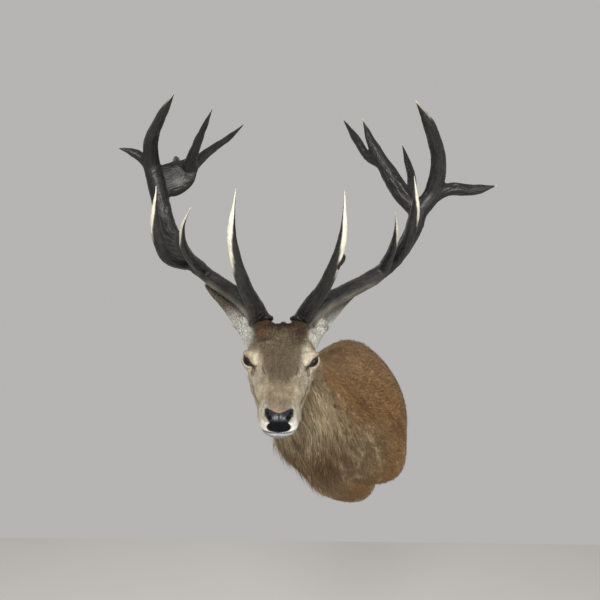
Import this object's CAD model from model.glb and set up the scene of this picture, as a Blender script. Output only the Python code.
"""Shoulder mount of a red deer stag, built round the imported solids.

One skin runs over the head, neck, chest and ears. Solid mesh tufts lie on it as the coat. The
antlers, eyes, lid rims and lashes are pieces of their own. Metres, +Z up, as the frame is: the
wall is the plane Y = 0, the chest faces -Y and the stag's left is +X.
"""

import math

import bmesh
import bpy
import numpy as np
from mathutils import Matrix, Vector


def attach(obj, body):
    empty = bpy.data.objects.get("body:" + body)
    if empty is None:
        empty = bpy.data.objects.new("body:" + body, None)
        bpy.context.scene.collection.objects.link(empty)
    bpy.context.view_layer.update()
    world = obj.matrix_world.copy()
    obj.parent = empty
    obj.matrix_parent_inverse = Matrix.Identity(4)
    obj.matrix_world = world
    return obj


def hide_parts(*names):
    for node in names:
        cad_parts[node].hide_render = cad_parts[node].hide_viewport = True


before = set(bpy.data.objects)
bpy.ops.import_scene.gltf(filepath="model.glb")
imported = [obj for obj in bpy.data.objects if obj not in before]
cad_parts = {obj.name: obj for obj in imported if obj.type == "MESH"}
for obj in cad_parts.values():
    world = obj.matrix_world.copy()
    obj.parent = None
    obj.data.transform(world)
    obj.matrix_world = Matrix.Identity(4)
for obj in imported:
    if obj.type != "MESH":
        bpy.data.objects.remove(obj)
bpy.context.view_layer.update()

# ---------------------------------------------------------------- the solids' own dimensions

# The head's frame starts midway between the antler burrs and is turned to the stag's left. A place
# in it is (out, fore, up): out to one side, towards the nose, and upwards.
HEAD_PLACE = np.array([0.042, -0.610, 0.2835])
HEAD_TURN = math.radians(24.2)
FACE_PITCH = math.radians(40)  # the muzzle's axis, below the horizontal
SIDES = (1, -1)  # the stag's left and right, as the sign of out
SIDE_NAMES = {"left": 1, "right": -1}

# Sections across the muzzle's axis: distance along it, forehead line, jaw line, half width, height
# of the widest place, and width at the jaw over full width.
HEAD_STATIONS = np.array([
    (-0.040, -0.070, -0.112, 0.026, -0.092, 0.90),
    (-0.034, -0.050, -0.132, 0.054, -0.085, 0.90),
    (-0.020, -0.021, -0.146, 0.070, -0.072, 0.86),
    (0.005, 0.002, -0.156, 0.080, -0.055, 0.80),
    (0.050, 0.008, -0.160, 0.088, -0.044, 0.72),
    (0.084, 0.009, -0.158, 0.090, -0.036, 0.66),
    (0.110, 0.007, -0.150, 0.089, -0.034, 0.66),
    (0.138, 0.006, -0.138, 0.080, -0.044, 0.74),
    (0.175, 0.008, -0.120, 0.072, -0.056, 0.78),
    (0.215, 0.011, -0.102, 0.062, -0.056, 0.80),
    (0.255, 0.015, -0.086, 0.051, -0.048, 0.82),
    (0.292, 0.019, -0.076, 0.045, -0.034, 0.84),
    (0.318, 0.018, -0.066, 0.042, -0.026, 0.84),
    (0.334, 0.012, -0.055, 0.036, -0.022, 0.84),
    (0.341, 0.002, -0.042, 0.025, -0.018, 0.86),
])

EYE_PLACE = (0.072, 0.063, -0.092)
EYE_RADIUS = 0.0185

EAR_ROOT = (0.068, -0.042, -0.028)
EAR_TIP = (0.209, -0.140, 0.098)
EAR_FACING = (0.07, 0.66, 0.46)
EAR_SAG = 0.006  # how far the middle of the ear arches back and up from the line between its ends
EAR_BOW = 0.014
EAR_HALF_WIDTHS = (0.028, 0.033, 0.034, 0.031, 0.025, 0.017, 0.003)
EAR_CUP = 0.6
EAR_THICKNESS = (0.010, 0.007, 0.0055, 0.005, 0.0045, 0.004, 0.003)

PEDICLE_LENGTH = 0.058
PEDICLE_RADII = (0.033, 0.029)
CORONET_RADIUS = 0.035
CORONET_HEIGHT = 0.010
CORONET_LEAN = (0.27, -0.18, 0.95)

# Sections across the body's axis: left, forward, up, tilt and turn in degrees, half width, reach
# above and below, squareness of the lower half, and the share of its width lost at the bottom.
TRUNK_STATIONS = np.array([
    (0.006, 0.0015, -0.020, 0, 0, 0.204, 0.258, 0.217, 6.0, 0.14),
    (0.006, 0.060, -0.020, 0, 0, 0.203, 0.244, 0.208, 4.5, 0.14),
    (0.006, 0.130, -0.008, 8, 0, 0.190, 0.222, 0.194, 3.0, 0.06),
    (0.006, 0.205, 0.014, 17, 2, 0.165, 0.184, 0.178, 2.4, 0.0),
    (0.008, 0.280, 0.042, 25, 5, 0.139, 0.147, 0.168, 2.1, 0.0),
    (0.012, 0.345, 0.076, 30, 9, 0.117, 0.118, 0.149, 2.0, 0.0),
    (0.017, 0.405, 0.110, 32, 13, 0.101, 0.093, 0.130, 2.0, 0.0),
    (0.023, 0.460, 0.142, 31, 18, 0.091, 0.076, 0.112, 2.0, 0.0),
    (0.029, 0.505, 0.168, 28, 22, 0.085, 0.064, 0.098, 2.0, 0.0),
    (0.036, 0.552, 0.190, 24, 24, 0.076, 0.060, 0.084, 2.0, 0.0),
])
CROWN_TAPER = 0.2  # the share of its width that a section's upper half loses at the top
KEEL_STATIONS = np.array([
    (0.006, 0.0015, -0.160, 0, 0, 0.113, 0.090, 0.146, 2.5, 0.0),
    (0.006, 0.100, -0.150, 0, 0, 0.096, 0.090, 0.124, 2.2, 0.0),
    (0.006, 0.200, -0.130, 6, 0, 0.064, 0.090, 0.104, 2.1, 0.0),
    (0.006, 0.285, -0.105, 12, 0, 0.064, 0.080, 0.062, 2.0, 0.0),
    (0.006, 0.328, -0.090, 18, 0, 0.048, 0.060, 0.027, 2.0, 0.0),
])
BOARD_INSET = 0.014
BOARD_THICKNESS = 0.018
BOARD_PLAY = 0.0003  # the gap between the board and the skin

# Antlers: each tine is a curve through a few places in the head's frame, with its diameters.
ANTLERS = {
    "right": {
        "side": -1,
        "beam": (
            [(0.051, 0, 0), (0.072, -0.014, 0.032), (0.108, -0.040, 0.063), (0.185, -0.090, 0.114),
             (0.257, -0.130, 0.172), (0.313, -0.155, 0.253), (0.340, -0.160, 0.333), (0.352, -0.157, 0.388)],
            (0.056, 0.046, 0.040, 0.040, 0.041, 0.043, 0.048, 0.052), 1),
        "brow": (
            [(0.054, 0.006, 0.016), (0.092, 0.115, 0.098), (0.113, 0.192, 0.195), (0.101, 0.245, 0.296)],
            (0.044, 0.033, 0.024, 0.003), 1),
        "bez": (
            [(0.208, -0.106, 0.132), (0.241, 0.030, 0.178), (0.234, 0.125, 0.225), (0.206, 0.190, 0.261)],
            (0.036, 0.024, 0.015, 0.003), 1),
        "trez": (
            [(0.256, -0.130, 0.158), (0.302, -0.050, 0.172), (0.323, -0.008, 0.242), (0.315, 0.035, 0.337)],
            (0.042, 0.034, 0.026, 0.003), 1),
        "crown_front": (
            [(0.352, -0.157, 0.385), (0.362, -0.152, 0.425), (0.356, -0.098, 0.478), (0.320, -0.020, 0.517),
             (0.265, 0.072, 0.564)],
            (0.050, 0.042, 0.030, 0.021, 0.003), 1),
        "crown_side": (
            [(0.356, -0.156, 0.408), (0.392, -0.150, 0.449), (0.425, -0.137, 0.463), (0.453, -0.125, 0.468)],
            (0.040, 0.031, 0.021, 0.003), 1),
        "crown_palm": (
            [(0.346, -0.160, 0.376), (0.312, -0.168, 0.392), (0.278, -0.168, 0.412), (0.250, -0.160, 0.438)],
            (0.080, 0.096, 0.084, 0.050), 0.36),
        "crown_inner": (
            [(0.262, -0.162, 0.425), (0.233, -0.100, 0.477), (0.206, -0.055, 0.517), (0.182, -0.017, 0.555)],
            (0.040, 0.025, 0.016, 0.003), 1),
        "crown_rear": (
            [(0.256, -0.164, 0.430), (0.205, -0.206, 0.487), (0.160, -0.245, 0.532), (0.117, -0.279, 0.583)],
            (0.038, 0.022, 0.017, 0.003), 1),
        "crown_knob": (
            [(0.300, -0.168, 0.412), (0.302, -0.192, 0.440), (0.308, -0.210, 0.458)],
            (0.052, 0.046, 0.024), 0.6),
    },
    "left": {
        "side": 1,
        "beam": (
            [(0.051, 0, 0), (0.076, -0.013, 0.028), (0.109, -0.035, 0.053), (0.171, -0.075, 0.086),
             (0.245, -0.115, 0.127), (0.305, -0.142, 0.178), (0.351, -0.156, 0.249), (0.374, -0.160, 0.318)],
            (0.056, 0.046, 0.042, 0.042, 0.042, 0.041, 0.044, 0.050), 1),
        "brow": (
            [(0.054, 0.006, 0.016), (0.111, 0.115, 0.106), (0.139, 0.185, 0.198), (0.140, 0.228, 0.300)],
            (0.044, 0.033, 0.023, 0.003), 1),
        "bez": (
            [(0.270, -0.126, 0.146), (0.279, -0.015, 0.190), (0.276, 0.080, 0.230), (0.265, 0.140, 0.264)],
            (0.034, 0.024, 0.015, 0.003), 1),
        "trez": (
            [(0.304, -0.140, 0.172), (0.326, -0.058, 0.222), (0.337, -0.008, 0.296), (0.327, 0.032, 0.372)],
            (0.040, 0.031, 0.023, 0.003), 1),
        "crown_front": (
            [(0.374, -0.160, 0.314), (0.408, -0.150, 0.362), (0.416, -0.112, 0.435), (0.384, -0.048, 0.506),
             (0.329, 0.019, 0.569)],
            (0.050, 0.046, 0.038, 0.030, 0.003), 1),
        "crown_side": (
            [(0.394, -0.154, 0.342), (0.450, -0.145, 0.371), (0.515, -0.134, 0.368), (0.578, -0.120, 0.379)],
            (0.042, 0.035, 0.029, 0.005), 1),
        "crown_inner": (
            [(0.370, -0.160, 0.310), (0.330, -0.168, 0.358), (0.280, -0.175, 0.437), (0.245, -0.180, 0.500),
             (0.215, -0.181, 0.576)],
            (0.046, 0.050, 0.042, 0.028, 0.003), 1),
        "crown_rear": (
            [(0.272, -0.178, 0.446), (0.232, -0.195, 0.474), (0.205, -0.215, 0.520), (0.166, -0.250, 0.591)],
            (0.034, 0.023, 0.019, 0.003), 1),
        "crown_back": (
            [(0.352, -0.164, 0.340), (0.356, -0.195, 0.415), (0.346, -0.219, 0.470), (0.336, -0.240, 0.519)],
            (0.034, 0.025, 0.017, 0.003), 1),
    },
}

# ---------------------------------------------------------------- small numeric helpers


def ramp(value, low, high):
    """0 below low and 1 above high, or the other way round where high is the smaller."""
    t = np.clip((value - low) / (high - low), 0, 1)
    return t * t * (3 - 2 * t)


def bump(distance, radius):
    """1 at no distance, and falling smoothly to about 0 at twice the radius."""
    return np.exp(-((distance / radius) ** 2))


def lengths(vectors):
    return np.linalg.norm(vectors, axis=-1)


def unit(vectors):
    return vectors / np.maximum(np.linalg.norm(vectors, axis=-1, keepdims=True), 1e-12)


def dot(a, b):
    return np.sum(a * b, axis=-1, keepdims=True)


def lattice(cell, seed):
    """A random value from -1 to 1 for each whole-numbered cell."""
    x, y, z = (cell[..., axis].astype(np.int64) for axis in range(3))
    mixed = (x * 374761393 + y * 668265263 + z * 1274126177 + seed * 974711) & 0xFFFFFFFF
    mixed = ((mixed ^ (mixed >> 13)) * 1103515245) & 0xFFFFFFFF
    mixed = ((mixed ^ (mixed >> 15)) * 69069) & 0xFFFFFFFF
    return ((mixed ^ (mixed >> 16)) & 0xFFFF) / 32767.5 - 1


def noise(points, size, seed=0):
    """Smooth noise from -1 to 1, with lumps of that size."""
    scaled = points / size
    cell = np.floor(scaled)
    part = scaled - cell
    part = part * part * (3 - 2 * part)
    total = 0
    for corner in np.ndindex(2, 2, 2):
        weight = np.prod(np.where(corner, part, 1 - part), axis=-1)
        total = total + weight * lattice(cell + np.array(corner), seed)
    return total


def fractal(points, size, seed=0, octaves=3):
    """Noise of several sizes added up, each half as large and half as strong as the last."""
    return sum(noise(points, size / 2**k, seed + 31 * k) / 2**k for k in range(octaves)) / 1.5


def look_up(rows, place):
    """The second value of the rows, read off between the first ones."""
    return np.interp(place, *np.array(rows).T)


def round_angles(count):
    """Evenly spaced angles, once round."""
    return np.linspace(0, 2 * math.pi, count, endpoint=False)


def hermite(start, end, leave, arrive, t):
    """The cubic from start to end that has these slopes at its ends."""
    return (
        (2 * start - 2 * end + leave + arrive) * t**3
        + (3 * end - 3 * start - 2 * leave - arrive) * t**2
        + leave * t
        + start
    )


def profile(stations, t):
    """Smooth values through the stations, which are numbers or rows, as t goes from 0 to 1."""
    stations = np.asarray(stations, float)
    last = len(stations) - 1
    place = np.clip(np.asarray(t, float), 0, 1) * last
    index = np.minimum(place.astype(int), last - 1)
    part = (place - index).reshape(place.shape + (1,) * (stations.ndim - 1))
    before, start = stations[np.maximum(index - 1, 0)], stations[index]
    end, after = stations[index + 1], stations[np.minimum(index + 2, last)]
    return hermite(start, end, (end - before) / 2, (after - start) / 2, part)


def curve_points(path, count, finer=24):
    """Evenly spaced points on a centripetal Catmull-Rom curve through the path."""
    path = np.asarray(path, float)
    path = np.vstack([2 * path[0] - path[1], path, 2 * path[-1] - path[-2]])
    t = np.linspace(0, 1, finer)[:, None]
    pieces = []
    for a, b, c, d in zip(path, path[1:], path[2:], path[3:]):
        ab, bc, cd = (math.sqrt(np.linalg.norm(q - p)) for p, q in ((a, b), (b, c), (c, d)))
        leave = ((b - a) / ab - (c - a) / (ab + bc) + (c - b) / bc) * bc
        arrive = ((c - b) / bc - (d - b) / (bc + cd) + (d - c) / cd) * bc
        pieces.append(hermite(b, c, leave, arrive, t))
    line = np.vstack(pieces)
    run = np.concatenate([[0], np.cumsum(lengths(np.diff(line, axis=0)))])
    even = np.linspace(0, run[-1], count)
    return np.stack([np.interp(even, run, line[:, axis]) for axis in range(3)], axis=1), run[-1]


# ---------------------------------------------------------------- the head's and the face's frames

TURN = np.array([
    [math.cos(HEAD_TURN), -math.sin(HEAD_TURN), 0],
    [math.sin(HEAD_TURN), math.cos(HEAD_TURN), 0],
    [0, 0, 1],
])
FLIP_FORE = np.array([1, -1, 1])  # (out, fore, up) is (x, -y, z) before the head is turned


def head_vectors(vectors):
    return (np.asarray(vectors, float) * FLIP_FORE) @ TURN.T


def from_head(places):
    return head_vectors(places) + HEAD_PLACE


def to_head(points):
    return ((points - HEAD_PLACE) @ TURN) * FLIP_FORE


def from_face(along, height, across):
    """Places in the frame from the muzzle's axis: along it, up from it and to the stag's left."""
    fore = along * math.cos(FACE_PITCH) + height * math.sin(FACE_PITCH)
    up = height * math.cos(FACE_PITCH) - along * math.sin(FACE_PITCH)
    return from_head(np.stack(np.broadcast_arrays(across, fore, up), axis=-1))


def to_face(points):
    out, fore, up = np.moveaxis(to_head(points), -1, 0)
    along = fore * math.cos(FACE_PITCH) - up * math.sin(FACE_PITCH)
    height = fore * math.sin(FACE_PITCH) + up * math.cos(FACE_PITCH)
    return np.stack([along, height, out], axis=-1)


def mirrored(place, side):
    return np.array(place, float) * (side, 1, 1)


# ---------------------------------------------------------------- mesh helpers


def new_object(name, points, faces):
    """An object from vertices and faces that all have the same number of corners."""
    faces = np.asarray(faces, np.int32)
    corners = faces.shape[1]
    mesh = bpy.data.meshes.new(name)
    mesh.vertices.add(len(points))
    mesh.vertices.foreach_set("co", np.asarray(points, np.float32).ravel())
    mesh.loops.add(faces.size)
    mesh.loops.foreach_set("vertex_index", faces.ravel())
    mesh.polygons.add(len(faces))
    mesh.polygons.foreach_set("loop_start", np.arange(len(faces), dtype=np.int32) * corners)
    mesh.polygons.foreach_set("loop_total", np.full(len(faces), corners, np.int32))
    mesh.polygons.foreach_set("use_smooth", np.ones(len(faces), bool))
    mesh.update(calc_edges=True)
    obj = bpy.data.objects.new(name, mesh)
    bpy.context.scene.collection.objects.link(obj)
    return obj


def coordinates(mesh, kind="co"):
    values = np.empty(len(mesh.vertices) * 3, np.float32)
    if kind == "normal":
        mesh.vertex_normals.foreach_get("vector", values)
    else:
        mesh.vertices.foreach_get("co", values)
    return values.reshape(-1, 3).astype(float)


def set_coordinates(mesh, points):
    mesh.vertices.foreach_set("co", np.asarray(points, np.float32).ravel())
    mesh.update()


def edge_pairs(mesh):
    pairs = np.empty(len(mesh.edges) * 2, np.int32)
    mesh.edges.foreach_get("vertices", pairs)
    return pairs.reshape(-1, 2)


def relax(points, pairs, weight, rounds):
    """Moves each point towards the middle of its neighbours, by its weight, in each round."""
    count = len(points)
    ends = np.concatenate([pairs, pairs[:, ::-1]])
    degree = np.maximum(np.bincount(ends[:, 0], minlength=count), 1)[:, None]
    for _ in range(rounds):
        middle = np.stack([np.bincount(ends[:, 0], points[ends[:, 1], axis], count) for axis in range(3)], 1)
        points = points + (middle / degree - points) * weight[:, None]
    return points


def apply_modifiers(obj):
    """The object's mesh becomes what its modifiers make of it."""
    graph = bpy.context.evaluated_depsgraph_get()
    mesh = bpy.data.meshes.new_from_object(obj.evaluated_get(graph))
    obj.modifiers.clear()
    obj.data = mesh


def voxel_remesh(obj, size):
    remesh = obj.modifiers.new("Remesh", "REMESH")
    remesh.mode = "VOXEL"
    remesh.voxel_size = size
    apply_modifiers(obj)


def join_shells(name, shells):
    """One object from several closed grids, each given as (points, faces) with four corners a face."""
    start, points, faces = 0, [], []
    for shell_points, shell_faces in shells:
        points.append(shell_points)
        faces.append(shell_faces + start)
        start += len(shell_points)
    return new_object(name, np.vstack(points), np.vstack(faces))


def ring_walls(steps, sides, rows):
    """Faces from each of the first rows of rings to the next ring, the last of all meeting the first."""
    row = np.arange(rows)[:, None] * sides
    after = (row + sides) % (steps * sides)
    column = np.arange(sides)[None, :]
    beside = (column + 1) % sides
    return np.stack([row + column, row + beside, after + beside, after + column], -1).reshape(-1, 4)


def tube_shell(rings):
    """A closed shell from rings of points, as an array of (steps, sides, 3)."""
    steps, sides = rings.shape[:2]
    points = np.vstack([rings.reshape(-1, 3), rings[0].mean(0), rings[-1].mean(0)])
    first, last = steps * sides, steps * sides + 1
    around, top = np.arange(0, sides, 2), (steps - 1) * sides
    middle, end = (around + 1) % sides, (around + 2) % sides
    caps = [
        np.stack([np.full(len(around), first), end, middle, around], -1),
        np.stack([np.full(len(around), last), around + top, middle + top, end + top], -1),
    ]
    return points, np.vstack([ring_walls(steps, sides, steps - 1), *caps])


def combine(obj, other, operation):
    """Joins the other object to this one, or cuts it away, and removes it."""
    cut = obj.modifiers.new("Combine", "BOOLEAN")
    cut.operation = operation
    cut.solver = "MANIFOLD"
    cut.object = other
    apply_modifiers(obj)
    bpy.data.objects.remove(other)


def paint(obj, colours, name="marking"):
    """A linear colour for each vertex."""
    layer = obj.data.color_attributes.new(name, "FLOAT_COLOR", "POINT")
    filled = np.ones((len(colours), 4), np.float32)
    filled[:, :3] = np.clip(colours, 0, 1)
    layer.data.foreach_set("color", filled.ravel())


def shade(red, green, blue):
    """A linear colour from one written as it looks on a screen, from 0 to 255."""
    value = np.array([red, green, blue]) / 255
    return np.where(value <= 0.04045, value / 12.92, ((value + 0.055) / 1.055) ** 2.4)


# ---------------------------------------------------------------- sections of the body and head


def body_rings(stations, steps, sides, grow):
    """Rings of points round the body's axis, all moved outwards by grow."""
    left, forward, up, tilt, turn, half, above, below, corner, narrow = (
        profile(stations, np.linspace(0, 1, steps)).T[..., None]
    )
    angle = round_angles(sides)[None, :]
    x, z = np.cos(angle), np.sin(angle)
    lower = z < 0
    bend = np.where(lower, 2 / corner, 1)
    taper = 1 - np.where(lower, narrow, CROWN_TAPER) * z * z
    across = np.sign(x) * np.abs(x) ** bend * (half * taper + grow)
    height = np.sign(z) * np.abs(z) ** bend * (np.where(lower, below, above) + grow)
    tilt, turn = np.radians(tilt), np.radians(turn)
    back = height * np.sin(tilt)
    return np.stack([
        left + across * np.cos(turn) - back * np.sin(turn),
        -forward + across * np.sin(turn) + back * np.cos(turn),
        up + height * np.cos(tilt),
    ], axis=-1)


def head_rings(steps, sides, grow):
    """Rings of points round the muzzle's axis, all moved outwards by grow."""
    t = np.linspace(0, 1, steps)
    along, top, bottom, half, widest, jaw = profile(HEAD_STATIONS, t).T[..., None]
    angle = round_angles(sides)[None, :]
    x, z = np.cos(angle), np.sin(angle)
    upper = z > 0
    reach = np.where(upper, top - widest, widest - bottom)
    taper = np.where(upper, 1, 1 - (1 - jaw) * z * z)
    ends = grow * (2 * t[:, None] - 1)
    return from_face(along + ends, widest + z * (reach + grow), x * (half * taper + grow))[:, ::-1]


def frames_along(line):
    """Tangents, and two steady directions across, along a line of points."""
    tangents = unit(np.gradient(line, axis=0))
    across = np.zeros_like(line)
    across[0] = unit(np.cross(tangents[0], (0.3, 0.1, 1.0)))
    for k in range(1, len(line)):
        across[k] = unit(across[k - 1] - tangents[k] * np.dot(across[k - 1], tangents[k]))
    return tangents, across, np.cross(tangents, across)


def sweep_rings(line, radii, sides, flat=1):
    """Rings round a line. A flattened one stands its wide side upright."""
    tangents, wide, thin = frames_along(line)
    if flat < 1:
        upright = np.array([0, 0, 1.0])
        wide = unit(upright - tangents * dot(tangents, upright))
        thin = np.cross(tangents, wide)
    angle = round_angles(sides)[None, :, None]
    return line[:, None] + radii[:, None, None] * (
        np.cos(angle) * wide[:, None] + flat * np.sin(angle) * thin[:, None]
    )


def straight_tube(start, end, radii, sides):
    """A closed tube between two points, from its radii at evenly spaced places."""
    line = start + (end - start) * np.linspace(0, 1, len(radii))[:, None]
    return tube_shell(sweep_rings(line, radii, sides))


def antler_foot(antler):
    """The middle of an antler's burr, and the direction in which its stalk and coronet point."""
    burr = from_head(mirrored(antler["beam"][0][0], antler["side"]))
    return burr, unit(head_vectors(mirrored(CORONET_LEAN, antler["side"])))


def ear_axes(side):
    """The ear's two ends, its axis, the way its hollow faces, and the way across it, downwards."""
    root, tip = from_head(mirrored(EAR_ROOT, side)), from_head(mirrored(EAR_TIP, side))
    axis = unit(tip - root)
    facing = head_vectors(mirrored(EAR_FACING, side))
    facing = unit(facing - axis * np.dot(facing, axis))
    return root, tip, axis, facing, np.cross(axis, facing) * side


def ear_places(points, side):
    """For each point: place along the ear, across it from -1 to 1, off its leaf, and its half width."""
    root, tip, axis, facing, downward = ear_axes(side)
    from_root = points - root
    t = (from_root @ axis) / np.linalg.norm(tip - root)
    arch = np.sin(math.pi * np.clip(t, 0, 1))
    half = profile(EAR_HALF_WIDTHS, t)
    x = (from_root @ downward + EAR_BOW * arch) / half
    hollow = EAR_CUP * half * (1 - np.clip(x * x, 0, 1))
    return t, x, from_root @ facing - EAR_SAG * arch + hollow, half


def ear_shell(side, steps=44, across=24):
    """The cupped leaf of the ear, hollow towards the front."""
    root, tip, _, facing, downward = ear_axes(side)
    t = np.linspace(0, 1, steps)[:, None]
    half, thickness = profile(EAR_HALF_WIDTHS, t), profile(EAR_THICKNESS, t)
    turn = round_angles(2 * across)[None, :]
    arch = np.sin(math.pi * t)
    x = np.cos(turn) * np.ones_like(t)
    hollow = EAR_CUP * half * (1 - x * x)
    lift = EAR_SAG * arch - hollow + np.sin(turn) * thickness / 2
    middle = root + (tip - root) * t
    rings = middle[:, None] + (x * half - EAR_BOW * arch)[..., None] * downward + lift[..., None] * facing
    return tube_shell(rings[:, ::-1] if side > 0 else rings)


# ---------------------------------------------------------------- the skin

# The fleshy cone that each ear stands on, in the head's frame, with its radii.
EAR_BASE = ((0.050, -0.018, -0.052), (0.094, -0.054, 0.002))
EAR_BASE_RADII = (0.038, 0.024)

FACE_COAT_DEPTH = 0.005
BODY_COAT_DEPTH = 0.011
SKIN_VOXEL = 0.0038

# Between these limits the coat changes from the body's to the head's: distance from the muzzle's axis
# over the head's own, place along the axis, and distance from an eye.
HEAD_EDGE = (1.30, 1.10)
HEAD_BACK = (-0.050, -0.018)
EYE_ZONE = (0.050, 0.038)


def raw_skin():
    """Head, neck, chest and brisket as one closed surface, inside the solids by the coat's depth."""
    shells = [
        tube_shell(body_rings(TRUNK_STATIONS, steps=90, sides=96, grow=-BODY_COAT_DEPTH)),
        tube_shell(body_rings(KEEL_STATIONS, steps=40, sides=64, grow=-BODY_COAT_DEPTH)),
        tube_shell(head_rings(steps=90, sides=72, grow=-FACE_COAT_DEPTH)),
    ]
    for antler in ANTLERS.values():
        burr, lean = antler_foot(antler)
        line = burr - lean * np.linspace(PEDICLE_LENGTH, 0.001, 20)[:, None]
        radii = np.linspace(*PEDICLE_RADII, 20) - FACE_COAT_DEPTH
        shells.append(tube_shell(sweep_rings(line, radii, sides=32)))
        radii = np.linspace(*EAR_BASE_RADII, 16)
        shells.append(straight_tube(*ear_base_ends(antler["side"]), radii, sides=32))
    skin = join_shells("skin", shells)
    voxel_remesh(skin, SKIN_VOXEL)
    return skin


def to_body(points):
    """For each point: distance from the wall, place in the section there as (side, rise), and its tilt.

    Side and rise go from -1 to 1.
    """
    forward = -points[:, 1]
    left, _, up, tilt, _, half, above, below, _, _ = (
        np.interp(forward, TRUNK_STATIONS[:, 1], column) for column in TRUNK_STATIONS.T
    )
    side, rise = points[:, 0] - left, points[:, 2] - up
    return forward, side / half, rise / np.where(rise > 0, above, below), tilt


def head_section(along):
    """The values of HEAD_STATIONS, from the forehead line on, at places along the muzzle's axis."""
    return [np.interp(along, HEAD_STATIONS[:, 0], column) for column in HEAD_STATIONS.T[1:]]


def head_share(points):
    """1 on the head, and 0 on the neck and body."""
    along, height, across = to_face(points).T
    top, bottom, half, widest, _ = head_section(along)
    reach = np.where(height > widest, top - widest, widest - bottom)
    round_it = np.hypot(across / half, (height - widest) / reach)
    share = ramp(round_it, *HEAD_EDGE) * ramp(along, *HEAD_BACK)
    for side in SIDES:
        share = np.maximum(share, ramp(lengths(points - eye_middle(side)), *EYE_ZONE))
        share = np.maximum(share, ear_base_share(points, side))
    return np.maximum(share, stalk_share(points))


def ear_base_ends(side):
    return [from_head(mirrored(place, side)) for place in EAR_BASE]


def ear_base_share(points, side):
    """1 on the cone that the ear stands on, and 0 away from it."""
    distance, t = segment_distance(points, *ear_base_ends(side))
    radius = EAR_BASE_RADII[0] + (EAR_BASE_RADII[1] - EAR_BASE_RADII[0]) * t
    return ramp(distance - radius, 0.014, 0.004)


def ear_share(points, side, reach=0.012):
    """1 on the ear of that side, and 0 away from it."""
    t, x, off, half = ear_places(points, side)
    near = ramp(np.abs(off), reach, 0.007) * ramp(np.abs(x) * half, half + reach, half + 0.004)
    return near * ramp(t, 0.10, 0.26) * ramp(t, 1.12, 1.03)


def add_ears(skin):
    for side in SIDES:
        combine(skin, new_object("ear", *ear_shell(side)), "UNION")


def soften_skin(skin):
    """Rounds the voxels away, and the creases where neck, jaw, ears and brisket meet."""
    mesh = skin.data
    points, pairs = coordinates(mesh), edge_pairs(mesh)
    ears = np.maximum(ear_share(points, 1), ear_share(points, -1))
    wall = ramp(points[:, 1], -0.004, -0.016)
    points = relax(points, pairs, 0.5 * wall * (1 - 0.8 * ears), rounds=4)
    head = head_share(points)
    seam = 4 * head * (1 - head)
    forward, _, rise, _ = to_body(points)
    brisket = ramp(rise, -0.35, -0.7) * ramp(forward, 0.45, 0.30)
    roots = sum(bump(lengths(points - ear_axes(side)[0]), 0.030) for side in SIDES)
    poll = ramp(to_face(points)[:, 0], 0.02, -0.03)
    stalks = np.zeros(len(points))
    for antler in ANTLERS.values():
        burr, lean = antler_foot(antler)
        foot = bump(lengths(points - burr + lean * 0.040), 0.045)
        stalks += foot * ramp((points - burr) @ lean, -0.006, -0.020)
    soft = np.clip(seam + brisket + roots + poll + 1.4 * stalks, 0, 1) * wall
    points = relax(points, pairs, 0.5 * soft * (1 - 0.7 * ears), rounds=28)
    set_coordinates(mesh, points)


def refine(mesh, centres, radius):
    """Splits the triangles whose corners all lie within radius of one of the centres."""
    points = coordinates(mesh)
    near = np.zeros(len(points), bool)
    for centre in centres:
        near |= lengths(points - centre) < radius
    edit = bmesh.new()
    edit.from_mesh(mesh)
    edges = [edge for edge in edit.edges if near[edge.verts[0].index] and near[edge.verts[1].index]]
    bmesh.ops.subdivide_edges(edit, edges=edges, cuts=1)
    bmesh.ops.triangulate(edit, faces=[face for face in edit.faces if len(face.verts) > 3])
    edit.to_mesh(mesh)
    edit.free()


def triangulate(mesh):
    edit = bmesh.new()
    edit.from_mesh(mesh)
    bmesh.ops.triangulate(edit, faces=edit.faces)
    edit.to_mesh(mesh)
    edit.free()


# Soft swellings and hollows of the head: along, height, across, radius and push, on both sides.
HEAD_FORMS = [
    (0.088, -0.004, 0.066, 0.020, 0.0045),  # the bone above the eye
    (0.060, -0.030, 0.082, 0.018, -0.003),  # behind it
    (0.140, 0.006, 0.030, 0.026, -0.003),  # the dish below the forehead
    (0.148, -0.012, 0.066, 0.020, -0.010),  # the hollow in front of the eye
    (0.150, -0.050, 0.074, 0.014, 0.003),  # the cheekbone, from under the eye
    (0.178, -0.062, 0.062, 0.014, 0.003),
    (0.186, -0.012, 0.056, 0.022, -0.005),  # the hollow beside the nose bone
    (0.190, -0.092, 0.050, 0.022, -0.004),  # the hollow below the cheekbone
    (0.060, -0.105, 0.060, 0.032, 0.005),  # the chewing muscle
    (0.286, -0.040, 0.040, 0.018, 0.003),  # the swelling behind the nostril
    (0.240, -0.030, 0.048, 0.018, -0.002),
    (0.022, 0.000, 0.000, 0.024, 0.005),  # between the burrs
]

# Fine folds of the cheek: both ends, each as a place along the muzzle and an angle in degrees round
# it, up from its widest line.
CHEEK_FOLDS = [
    ((0.132, 16), (0.200, 9)),
    ((0.200, 9), (0.250, 14)),
    ((0.136, 30), (0.158, 20)),
    ((0.154, 50), (0.178, 57)),
]
CHEEK_GIRTH = 0.065  # metres round the cheek for each radian

# Grooves in the skin, each as its depth and half its width.
MOUTH_GROOVE = (0.0044, 0.0025)
TEAR_GROOVE = (0.0042, 0.0028)
FOLD_GROOVE = (0.0022, 0.0026)
PAD_GROOVE = (0.0016, 0.0011)  # down the middle of the nose pad
# The lips' swellings: height above the mouth line, half width and push.
LIP_SWELLINGS = ((0.006, 0.004, 0.0012), (-0.0065, 0.004, 0.0016))
TEAR_END = (0.170, -0.014, 0.056)  # the lower end of the tear duct's slit, in the face's frame

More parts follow.
